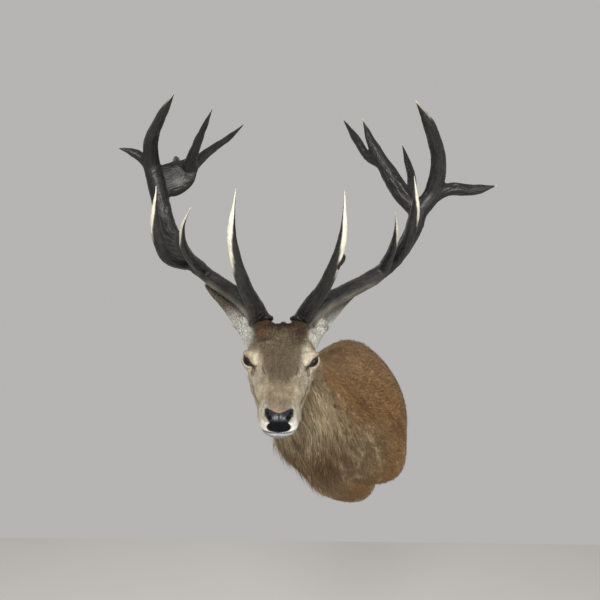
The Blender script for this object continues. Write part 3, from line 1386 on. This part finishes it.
def clumps(roots, rng):
    """How bright each tuft is: locks of neighbours share a tone, and every tuft has its own."""
    head = head_share(roots)
    on_body = streaks(roots, BODY_STREAKS, 0.0045, 81, 0.7)
    on_head = streaks(roots, FACE_STREAKS, 0.0035, 82, 0.6)
    ears = np.maximum(ear_share(roots, 1), ear_share(roots, -1))
    lock = LOCK_TONE * (on_body * (1 - head) + on_head * head)
    return 1 + (lock + rng.normal(0, TUFT_TONE, len(roots))) * (1 - 0.6 * ears)


def hair_room(points, normals):
    """1 where hair grows and 0 on bare skin, in the mouth line, at the back and in the eyes' openings."""
    room = 1 - ramp(bare_skin(points), 0.25, 0.6)
    gap, mouth = mouth_gap(to_face(points))
    room = room * (1 - bump(gap, 0.0034) * mouth)
    for side in SIDES:
        distance, ahead, inward, rise = eye_angles(points, side)
        inside = (distance < EYE_RADIUS + 0.006) & (ahead > -0.004)
        room = room * np.where(inside, ramp(lid_reach(inward, rise), 1.10, 1.25), 1)
    return room * (points[:, 1] < -0.004) * (normals[:, 1] < 0.9)


def build_coat(skin):
    """Tufts in pieces: body and face in bands from the wall forwards, and each ear."""
    rng = np.random.default_rng(SEED)
    mesh = skin.data
    points, normals = coordinates(mesh), coordinates(mesh, "normal")
    room = hair_room(points, normals)
    head = head_share(points)
    ears = {side: ear_share(points, side) for side in SIDES}
    on_ears = np.clip(ears[1] + ears[-1], 0, 1)
    regions = [
        ("coat_body", (1 - head) * (1 - on_ears), BODY_TUFTS, body_sizes, unwrap_body),
        ("coat_face", head * (1 - on_ears), FACE_TUFTS, face_sizes, unwrap_face),
    ]
    for label, side in SIDE_NAMES.items():
        regions.append((
            f"coat_ear_{label}", ears[side], EAR_TUFTS, ear_sizes,
            lambda places, side=side: unwrap_ear(places, side),
        ))
    pieces = []
    for name, share, count, sizes_at, unwrap in regions:
        count = count
        roots, facing = scatter(mesh, share * room, count, rng)
        order = np.argsort(roots[:, 1], kind="stable")
        roots, facing = roots[order], facing[order]
        flow = lie_of_coat(roots, facing)
        tone = markings(roots) * clumps(roots, rng)[:, None]
        sizes = sizes_at(roots, rng)
        parts = math.ceil(count * len(TUFT[1]) / MOST_TRIANGLES)
        for number, chosen in enumerate(np.array_split(np.arange(count), parts), start=1):
            label = f"{name}_{number}" if parts > 1 else name
            pieces.append(build_tufts(
                label, roots[chosen], facing[chosen], flow[chosen], sizes[chosen],
                tone[chosen], unwrap(roots[chosen]), rng,
            ))
    return pieces


# ---------------------------------------------------------------- eyes


CORNEA_RISE = 0.035  # over the eyeball's radius
CORNEA_REACH = 0.55  # radians from the gaze
LID_RIM_OVER = 0.0009  # how far the middle of the lids' rim stands off the eyeball
LID_RIM_RADII = (0.0010, 0.0009)  # across the lids' edge, and outwards


def build_eyeball(label, side):
    """A glass eye whose local +Z is the gaze, with a low corneal bulge."""
    centre, gaze, _, upward = eye_axes(side)
    edit = bmesh.new()
    bmesh.ops.create_uvsphere(edit, u_segments=64, v_segments=40, radius=EYE_RADIUS)
    for vertex in edit.verts:
        off = math.acos(max(-1.0, min(1.0, vertex.co.z / EYE_RADIUS)))
        vertex.co *= 1 + CORNEA_RISE * math.exp(-((off / CORNEA_REACH) ** 2))
    mesh = bpy.data.meshes.new(f"eyeball_{label}")
    edit.to_mesh(mesh)
    edit.free()
    mesh.polygons.foreach_set("use_smooth", np.ones(len(mesh.polygons), bool))
    eye = bpy.data.objects.new(f"eyeball_{label}", mesh)
    bpy.context.scene.collection.objects.link(eye)
    across = np.cross(upward, gaze)
    turn = Matrix((across, upward, gaze)).transposed().to_4x4()
    eye.matrix_world = Matrix.Translation(Vector(centre)) @ turn
    return eye


def lid_edge(side, count=72):
    """Points round the edge of the eye's opening, on a sphere just off the eyeball.

    At each angle, halving finds how far out the edge is.
    """
    centre, gaze, inner, upward = eye_axes(side)
    points = []
    for angle in np.linspace(0, 2 * math.pi, count, endpoint=False):
        low, high = 0.0, math.radians(80)
        for _ in range(24):
            middle = (low + high) / 2
            ray = np.array([middle * math.cos(angle)]), np.array([middle * math.sin(angle)])
            low, high = (middle, high) if lid_reach(*ray)[0] < 1.0 else (low, middle)
        inward, rise = low * math.cos(angle), low * math.sin(angle)
        direction = unit(gaze + inner * math.tan(inward) + upward * math.tan(rise))
        points.append(centre + direction * (EYE_RADIUS + LID_RIM_OVER))
    return np.array(points)


def build_lid_rim(label, side):
    """The bare dark edge of the lids, as a closed soft cord on the eyeball."""
    edge = lid_edge(side)
    count, sides = len(edge), 10
    outward = unit(edge - eye_middle(side))
    tangent = unit(np.roll(edge, -1, axis=0) - np.roll(edge, 1, axis=0))
    beside = np.cross(tangent, outward)
    angle = round_angles(sides)[None, :, None]
    wide, high = LID_RIM_RADII
    rings = edge[:, None] + wide * np.cos(angle) * beside[:, None] + high * np.sin(angle) * outward[:, None]
    return new_object(f"lid_rim_{label}", rings.reshape(-1, 3), ring_walls(count, sides, count)[:, ::-1])


LASH_BROWN = shade(40, 31, 26)
LASHES = 46
LASH_LENGTHS = (0.006, 0.011)
LASH_WIDTH = 0.0006
LASH_LIFT = 0.0008


def build_lashes(label, side):
    """Dark lashes along the upper lid, as tufts of their own."""
    rng = np.random.default_rng(SEED + 1 + side)
    centre, gaze, _, upward = eye_axes(side)
    edge = lid_edge(side, 180)
    upper = edge[(edge - centre) @ upward > 0.0015]
    roots = upper[rng.integers(0, len(upper), LASHES)] + rng.normal(0, 0.0004, (LASHES, 3))
    outward = unit(roots - centre)
    flow = unit(outward + 0.55 * upward + 0.5 * gaze + rng.normal(0, 0.14, (LASHES, 3)))
    facing = unit(np.cross(np.cross(flow, upward), flow))
    sizes = np.tile((0, LASH_WIDTH, LASH_LIFT), (LASHES, 1))
    sizes[:, 0] = rng.uniform(*LASH_LENGTHS, LASHES)
    colours = np.tile(LASH_BROWN, (LASHES, 1))
    return build_tufts(f"lashes_{label}", roots, facing, flow, sizes, colours, unwrap_face(roots), rng)


# ---------------------------------------------------------------- antlers

ANTLER_VOXEL = 0.0024
IVORY = shade(206, 201, 184)
HORN_DARK = shade(27, 26, 25)
HORN_WORN = shade(66, 62, 57)
HORN_BROWN = shade(124, 117, 106)
HORN_HOLLOW = shade(146, 142, 130)
NEVER = 9  # far past any tip
# Where along each tine the polished ivory begins, from 0 at its root to 1 at its tip.
IVORY_FROM = {
    "beam": NEVER, "brow": 0.56, "bez": 0.62, "trez": 0.70, "crown_front": 1.05, "crown_side": 1.06,
    "crown_palm": NEVER, "crown_inner": 1.05, "crown_rear": 1.02, "crown_back": 1.07, "crown_knob": NEVER,
}
TINE_SAMPLES = 90
TINE_SIDES = 20
BLOCK = 8000  # points at a time
WEB_REACH = (0.08, 0.54)  # the part of the third tine that the web joins to the beam
WEB_RADIUS = 0.0095
# Heights of the horn's relief: ridges along the tines, pearls, the coronet's knobs, and low waves.
RIDGE_HEIGHT = 0.0015
PEARL_HEIGHT = 0.0016
CORONET_KNOBS = 0.0050
HORN_WAVES = 0.0012
GRAIN_STRETCH = 0.14  # how fast the grain changes along a tine, over how fast it does round it
GRAIN_APART = 3.7  # from one tine's grain to the next one's
BROW_KNOB = ((0.1365, 0.1480, 0.136), (0.1450, 0.1560, 0.160))
BROW_KNOB_RADIUS = 0.0035  # at its ends, and twice that in its middle
PALM_HOLLOW = (-0.288, -0.140, 0.386)  # the middle of the pale hollow in the right antler's palm


def antler_lines(antler):
    """Each tine's centre line in the row frame, its radii, length and flatness."""
    lines = {}
    for name, part in antler.items():
        if name == "side":
            continue
        path, girth, flat = part
        line, length = curve_points([mirrored(place, antler["side"]) for place in path], TINE_SAMPLES)
        radii = profile(girth, np.linspace(0, 1, TINE_SAMPLES)) / 2
        lines[name] = (from_head(line), radii, length, flat)
    return lines


def nearest_on_tines(points, lines):
    """For each point: the tine it belongs to, its place along it and round it, and how close the next is.

    The distances are worked out in blocks of points, to spare memory.
    """
    gaps, spots = [], []
    for line, radii, _, _ in lines.values():
        best = np.empty(len(points))
        spot = np.empty(len(points), int)
        for start in range(0, len(points), BLOCK):
            part = slice(start, start + BLOCK)
            away = lengths(points[part, None] - line[None]) - radii[None]
            spot[part] = away.argmin(axis=1)
            best[part] = away.min(axis=1)
        gaps.append(best)
        spots.append(spot)
    gaps, spots = np.array(gaps), np.array(spots)
    owner = gaps.argmin(axis=0)
    ordered = np.sort(gaps, axis=0)
    spot = spots[owner, np.arange(len(points))]
    line, radius, length, flat = (np.array(column) for column in zip(*lines.values()))
    tangent = np.array([unit(np.gradient(one, axis=0)) for one in line])
    last = TINE_SAMPLES - 1
    shift = dot(points - line[owner, spot], tangent[owner, spot])[:, 0] / length[owner] * last
    place = np.clip(spot + shift, 0, last)
    below = np.minimum(place.astype(int), last - 1)
    part = (place - below)[:, None]

    def between(values):
        return values[owner, below] * (1 - part) + values[owner, below + 1] * part

    return {
        "owner": owner,
        "along": place / last,
        "run": place / last * length[owner],
        "radius": between(radius[..., None])[:, 0],
        "tangent": unit(between(tangent)),
        "flat": flat[owner],
        "outward": unit(points - between(line)),
        "meeting": ordered[1] - ordered[0],
    }


def grain_places(near):
    """Coordinates in which noise makes ridges that run along the tines."""
    around = near["outward"] - near["tangent"] * dot(near["outward"], near["tangent"])
    around = unit(around) * np.maximum(near["radius"], 0.006)[:, None]
    onward = near["tangent"] * (near["run"] * GRAIN_STRETCH)[:, None]
    return around + onward + near["owner"][:, None] * GRAIN_APART


def antler_web(lines):
    """The web in the fork between the beam and the third tine, as short bars that the remesh joins."""
    tine, beam = lines["trez"][0], lines["beam"][0]
    shells = []
    for share in np.linspace(*WEB_REACH, 9):
        start = tine[int(share * (TINE_SAMPLES - 1))]
        end = beam[lengths(beam - start).argmin()]
        shells.append(straight_tube(start, end, np.full(10, WEB_RADIUS), sides=16))
    return shells


def brow_knob():
    """The small rough lump on the outer side of the left brow tine."""
    low, high = (from_head(place) for place in BROW_KNOB)
    radii = BROW_KNOB_RADIUS * (1 + np.sin(math.pi * np.linspace(0, 1, 10)))
    return straight_tube(low, high, radii, sides=16)


def build_antler(label):
    """All tines, the coronet and the web or knob as one surface, with its ridges and pearls pushed out."""
    antler = ANTLERS[label]
    lines = antler_lines(antler)
    shells = []
    for line, radii, _, flat in lines.values():
        shells.append(tube_shell(sweep_rings(line, radii, TINE_SIDES, flat)))
    shells += antler_web(lines) if label == "right" else [brow_knob()]
    burr, lean = antler_foot(antler)
    steps = np.linspace(0, 1, 12)
    ring_line = burr + lean * (CORONET_HEIGHT * steps)[:, None]
    bulge = CORONET_RADIUS * (0.84 + 0.12 * np.sin(math.pi * steps))
    shells.append(tube_shell(sweep_rings(ring_line, bulge, sides=40)))
    obj = join_shells(f"antler_{label}", shells)
    voxel_remesh(obj, ANTLER_VOXEL)
    mesh = obj.data
    points, pairs = coordinates(mesh), edge_pairs(mesh)
    points = relax(points, pairs, np.full(len(points), 0.5), rounds=2)
    near = nearest_on_tines(points, lines)
    webs = ramp(near["meeting"], 0.020, 0.004)
    low = bump((points - burr) @ lean, 0.012)
    points = relax(points, pairs, 0.5 * webs * (1 - low), rounds=34)
    set_coordinates(mesh, points)
    normals = coordinates(mesh, "normal")
    near = nearest_on_tines(points, lines)
    polish_from = np.array([IVORY_FROM[name] for name in lines])[near["owner"]]
    grain = grain_places(near)
    ridges = 1 - np.abs(fractal(grain, 0.007, 61, 3)) * 2
    rough = ramp(near["along"], polish_from + 0.02, polish_from - 0.25)
    rough = rough * ramp(near["radius"], 0.004, 0.012) * near["flat"]
    pearls = np.clip(noise(points, 0.0065, 62), 0, 1) ** 1.5
    from_burr = lengths(points - burr)
    foot = bump(from_burr, 0.09)
    coronet = bump((points - burr) @ lean - 0.004, 0.008) * (from_burr < 0.06)
    knobs = np.clip(noise(points, 0.008, 63), -0.3, 1)
    push = RIDGE_HEIGHT * (ridges - 0.3) * rough
    push += PEARL_HEIGHT * pearls * rough * (0.25 + foot)
    push += CORONET_KNOBS * knobs * coronet
    push += HORN_WAVES * fractal(points, 0.03, 64)
    points = points + normals * (push * (1 - 0.5 * webs))[:, None]
    set_coordinates(mesh, points)
    paint(obj, antler_colours(points, near, polish_from, ridges, pearls, coronet, antler["side"]))
    layer = mesh.attributes.new("grain", "FLOAT_VECTOR", "POINT")
    layer.data.foreach_set("vector", grain.astype(np.float32).ravel())
    return obj


def antler_colours(points, near, polish_from, ridges, pearls, coronet, side):
    """Nearly black horn, worn on its ridges, browner under the beams, with ivory on the tines' ends."""
    outer = near["outward"] @ unit(head_vectors((side, 0.55, 0)))
    streak = fractal(grain_places(near), 0.006, 71)
    cloud = fractal(points, 0.045, 72)
    worn = ramp(ridges, 0.2, 0.95) * 0.55 * near["flat"] + 0.5 * ramp(pearls, 0.25, 0.8)
    on_beam = near["owner"] == 0  # the beam is the first of an antler's tines
    worn *= np.where(on_beam, 1.0, 0.6)
    colour = blend(HORN_DARK, HORN_WORN, worn * (0.42 + 0.5 * cloud))
    beam = on_beam * ramp(near["along"], 0.62, 0.30)
    under = ramp(-near["outward"][:, 2], -0.18, 0.55) * beam
    colour = blend(colour, HORN_BROWN, under * (0.55 + 0.5 * cloud + 0.3 * streak))
    colour = colour * (1 + 0.20 * cloud + 0.16 * streak)[:, None]
    border = near["along"] - polish_from + 0.42 * (outer - 0.58) + 0.08 * streak
    colour = blend(colour, HORN_HOLLOW, 0.7 * ramp(border, -0.07, 0.0))
    tip = ramp(near["along"], 0.945, 0.98) * (polish_from < NEVER)
    colour = blend(colour, IVORY, np.maximum(ramp(border, -0.01, 0.06), 0.7 * tip))
    if side < 0:
        hollow = bump(lengths(points - from_head(PALM_HOLLOW)), 0.013)
        colour = blend(colour, HORN_HOLLOW, 0.6 * hollow)
    else:
        knob, _ = segment_distance(points, *(from_head(place) for place in BROW_KNOB))
        colour = blend(colour, HORN_DARK * 0.8, ramp(knob, 0.015, 0.010))
    return blend(colour, HORN_DARK * 0.6, 0.7 * coronet * (1 - pearls))


# ---------------------------------------------------------------- materials


class Look:
    """A material, with short ways to add nodes to it and to join them to its shader."""

    def __init__(self, name, shader_values):
        self.material = bpy.data.materials.new(name)
        self.material.use_nodes = True
        self.tree = self.material.node_tree
        self.shader = self.tree.nodes["Principled BSDF"]
        for label, value in shader_values.items():
            self.shader.inputs[label].default_value = value

    def node(self, kind, inputs, **settings):
        """A node with its settings, whose inputs are given as numbers or as the outputs of others."""
        node = self.tree.nodes.new(kind)
        for label, value in settings.items():
            setattr(node, label, value)
        for label, value in inputs.items():
            if isinstance(value, bpy.types.NodeSocket):
                self.tree.links.new(value, node.inputs[label])
            else:
                node.inputs[label].default_value = value
        return node

    def to_shader(self, label, source):
        self.tree.links.new(source, self.shader.inputs[label])

    def place(self):
        """Places in the object's own coordinates."""
        return self.node("ShaderNodeTexCoord", {}).outputs["Object"]

    def attribute(self, name, output):
        return self.node("ShaderNodeAttribute", {}, attribute_name=name).outputs[output]

    def noise(self, scale, detail, place=None, **more):
        """Noise from about 0.3 to 0.7 at a place, which is the object's own where none is given."""
        inputs = {"Scale": scale, "Detail": detail, "Vector": place or self.place(), **more}
        return self.node("ShaderNodeTexNoise", inputs).outputs["Fac"]

    def spread(self, source, low, high, start=0.3, end=0.7):
        """The source's values from start to end, spread from low to high."""
        inputs = {"Value": source, "From Min": start, "From Max": end, "To Min": low, "To Max": high}
        return self.node("ShaderNodeMapRange", inputs).outputs["Result"]

    def mottle(self, colour, source, low, high):
        """The colour is made darker and brighter by the source, and becomes the shader's."""
        inputs = {0: colour, "Scale": self.spread(source, low, high)}
        scaled = self.node("ShaderNodeVectorMath", inputs, operation="SCALE")
        self.to_shader("Base Color", scaled.outputs["Vector"])

    def two_tones(self, source, first, second):
        """The shader's colour goes from the first tone to the second with the source."""
        tones = self.node("ShaderNodeValToRGB", {"Fac": source})
        for element, tone in zip(tones.color_ramp.elements, (first, second)):
            element.color = (*tone, 1)
        self.to_shader("Base Color", tones.outputs["Color"])

    def bumps(self, source, strength, distance):
        """Small bumps on the surface, as high as the source says."""
        inputs = {"Height": source, "Strength": strength, "Distance": distance}
        self.to_shader("Normal", self.node("ShaderNodeBump", inputs).outputs["Normal"])


def coat_material():
    look = Look("fur", {"Roughness": 0.62, "Specular IOR Level": 0.16})
    look.mottle(look.attribute("marking", "Color"), look.noise(260, 2), 0.86, 1.14)
    return look.material


def skin_material():
    """Short flat fur under the tufts, and the wet black nose, which the attribute "bare" tells apart."""
    look = Look("hide", {})
    look.mottle(look.attribute("marking", "Color"), look.noise(420, 3), 0.8, 1.15)
    wet = look.attribute("bare", "Fac")
    look.to_shader("Roughness", look.spread(wet, 0.75, 0.36, 0.5, 1.0))
    look.to_shader("Specular IOR Level", look.spread(wet, 0.08, 0.45, 0.5, 1.0))
    pebbles = look.node("ShaderNodeTexVoronoi", {"Scale": 520, "Vector": look.place()})
    look.bumps(pebbles.outputs["Distance"], 0.35, 0.0006)
    return look.material


def antler_material():
    """Horn, with noise drawn out along the tines by the attribute "grain"."""
    look = Look("antler_horn", {"Specular IOR Level": 0.32})
    fine = look.noise(300, 5, look.attribute("grain", "Vector"))
    look.mottle(look.attribute("marking", "Color"), fine, 0.74, 1.24)
    look.to_shader("Roughness", look.spread(fine, 0.30, 0.52))
    look.bumps(fine, 0.6, 0.0016)
    return look.material


def eye_material():
    """A dark glass eye: a level oblong pupil in a deep brown iris."""
    look = Look("eye_glass", {"Roughness": 0.07, "Specular IOR Level": 0.35})
    place = look.place()
    flat = look.node("ShaderNodeMapping", {"Vector": place, "Scale": (0.62, 1.25, 0)}).outputs["Vector"]
    distance = look.node("ShaderNodeVectorMath", {0: flat}, operation="LENGTH").outputs["Value"]
    rings = look.node("ShaderNodeValToRGB", {"Fac": look.spread(distance, 0, 1, 0, EYE_RADIUS)})
    pupil, iris = rings.color_ramp.elements
    pupil.position, pupil.color = 0.28, (0.002, 0.002, 0.003, 1)
    iris.position, iris.color = 0.40, (0.030, 0.013, 0.007, 1)
    rings.color_ramp.elements.new(0.85).color = (0.006, 0.004, 0.003, 1)
    look.mottle(rings.outputs["Color"], look.noise(900, 3, place), 0.6, 1.5)
    return look.material


def lid_material():
    look = Look("lid_edge", {"Roughness": 0.34})
    look.two_tones(look.noise(700, 2), shade(24, 18, 16), shade(52, 40, 34))
    return look.material


def wood_material():
    look = Look("board_wood", {"Roughness": 0.66})
    stretched = look.node("ShaderNodeMapping", {"Vector": look.place(), "Scale": (12, 12, 0.7)})
    grain = look.noise(2.6, 7, stretched.outputs["Vector"], Distortion=0.8)
    look.two_tones(look.spread(grain, 0, 1), shade(176, 143, 102), shade(198, 167, 126))
    look.bumps(grain, 0.25, 0.001)
    return look.material


def steel_material():
    look = Look("hanger_steel", {"Metallic": 1.0})
    scratches = look.noise(90, 6)
    tone = look.spread(scratches, 0.45, 0.62)
    grey = look.node("ShaderNodeCombineColor", {"Red": tone, "Green": tone, "Blue": tone})
    look.to_shader("Base Color", grey.outputs["Color"])
    look.to_shader("Roughness", look.spread(scratches, 0.28, 0.5))
    return look.material


def floor_material():
    look = Look("floor", {"Roughness": 0.8})
    look.two_tones(look.noise(1.4, 3), (0.74, 0.72, 0.69), (0.80, 0.78, 0.75))
    return look.material


def finish_piece(obj, material, slot, *nodes):
    """Gives a piece its material, its body, its finish and the solids it stands for."""
    obj.data.materials.clear()
    obj.data.materials.append(material)
    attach(obj, "root")
    if nodes:
        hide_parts(*nodes)


# ---------------------------------------------------------------- stage

PHOTO_SIDE = 600
FOCAL_LENGTH_PIXELS = 731.48
SENSOR_WIDTH = 36.0
CAMERA_PLACE = Vector((0.8206, -2.2823, 0.2850))
CAMERA_YAW = math.radians(23.629)
CAMERA_PITCH = math.radians(1.770)
CAMERA_ROLL = math.radians(0.683)
FLOOR_HEIGHT = -1.2
FLOOR_HALF_SIDE = 2.6
SKY_COLOUR = (0.93, 0.92, 0.90)
SKY_STRENGTH = 0.5
LIGHTS_AIM = (0.05, -0.35, 0.15)
# Square lights: name, place, side, watts and colour.
LIGHTS = (
    ("key", (0.78, -2.70, 0.95), 0.6, 66, (1.0, 0.99, 0.97)),
    ("fill", (2.4, -1.5, 0.4), 1.6, 20, (1, 1, 1)),
    ("back", (-1.8, 1.6, 1.8), 2.4, 12, (1, 1, 1)),
)


def build_camera():
    ahead = Vector((
        -math.sin(CAMERA_YAW) * math.cos(CAMERA_PITCH),
        math.cos(CAMERA_YAW) * math.cos(CAMERA_PITCH),
        math.sin(CAMERA_PITCH),
    ))
    right = ahead.cross(Vector((0, 0, 1))).normalized()
    up = right.cross(ahead)
    rolled_right = right * math.cos(CAMERA_ROLL) + up * math.sin(CAMERA_ROLL)
    rolled_up = up * math.cos(CAMERA_ROLL) - right * math.sin(CAMERA_ROLL)
    data = bpy.data.cameras.new("camera")
    data.sensor_width = SENSOR_WIDTH
    data.lens = SENSOR_WIDTH * FOCAL_LENGTH_PIXELS / PHOTO_SIDE
    data.shift_x = 1 / PHOTO_SIDE
    camera = bpy.data.objects.new("camera", data)
    turn = Matrix((rolled_right, rolled_up, -ahead)).transposed().to_4x4()
    camera.matrix_world = Matrix.Translation(CAMERA_PLACE) @ turn
    bpy.context.scene.collection.objects.link(camera)
    bpy.context.scene.camera = camera


def area_light(name, place, size, energy, colour):
    data = bpy.data.lights.new(name, "AREA")
    data.size = size
    data.energy = energy
    data.color = colour
    light = bpy.data.objects.new(name, data)
    light.location = place
    light.rotation_euler = (Vector(LIGHTS_AIM) - Vector(place)).to_track_quat("-Z", "Y").to_euler()
    bpy.context.scene.collection.objects.link(light)


def build_stage():
    square = np.array([(-1, -1), (1, -1), (1, 1), (-1, 1)]) * FLOOR_HALF_SIDE
    across = np.array([math.cos(CAMERA_YAW), math.sin(CAMERA_YAW)])
    ahead = np.array([-math.sin(CAMERA_YAW), math.cos(CAMERA_YAW)])
    corners = square[:, :1] * across + square[:, 1:] * ahead
    floor = new_object("floor", np.hstack([corners, np.full((4, 1), FLOOR_HEIGHT)]), [(0, 1, 2, 3)])
    floor.data.materials.append(floor_material())
    world = bpy.data.worlds.new("studio")
    world.use_nodes = True
    background = world.node_tree.nodes["Background"]
    background.inputs["Color"].default_value = (*SKY_COLOUR, 1)
    background.inputs["Strength"].default_value = SKY_STRENGTH
    bpy.context.scene.world = world
    for light in LIGHTS:
        area_light(*light)
    bpy.context.scene.view_settings.view_transform = "Standard"


# ---------------------------------------------------------------- assembly

build_camera()
build_stage()

SKIN_SHADE = 0.9  # the skin under the tufts is a little darker than they are
PAD_FOOT_WETNESS = 0.5  # the pad's foot is drier than its upper part

skin = build_skin()
skin_points = coordinates(skin.data)
paint(skin, markings(skin_points) * SKIN_SHADE)
_, seen_height = seen_from_ahead(to_face(skin_points))
bare = bare_skin(skin_points) * np.where(seen_height < PAD_WAIST, PAD_FOOT_WETNESS, 1)
paint(skin, np.repeat(bare[:, None], 3, axis=1), "bare")
skin.data.polygons.foreach_set("use_smooth", np.ones(len(skin.data.polygons), bool))
finish_piece(
    skin, skin_material(), "coat_body", "head", "lower_jaw", "neck", "chest", "ear_left", "ear_right"
)

fur = coat_material()
for piece in build_coat(skin):
    slot = "coat_ear" if "ear" in piece.name else "coat_face" if "face" in piece.name else "coat_body"
    finish_piece(piece, fur, slot)

glass, lids = eye_material(), lid_material()
for eye_label, eye_side in SIDE_NAMES.items():
    finish_piece(build_eyeball(eye_label, eye_side), glass, "eye_glass", f"eye_{eye_label}")
    finish_piece(build_lid_rim(eye_label, eye_side), lids, "coat_face")
    finish_piece(build_lashes(eye_label, eye_side), fur, "coat_face")

horn = antler_material()
for antler_label in ANTLERS:
    solids = [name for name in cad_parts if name.startswith(f"antler_{antler_label}_")]
    finish_piece(build_antler(antler_label), horn, "antler", *solids)

for node, material in (("back_board", wood_material()), ("hanger_plate", steel_material())):
    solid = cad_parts[node]
    for material_slot in solid.material_slots:
        material_slot.link = "OBJECT"
        material_slot.material = material
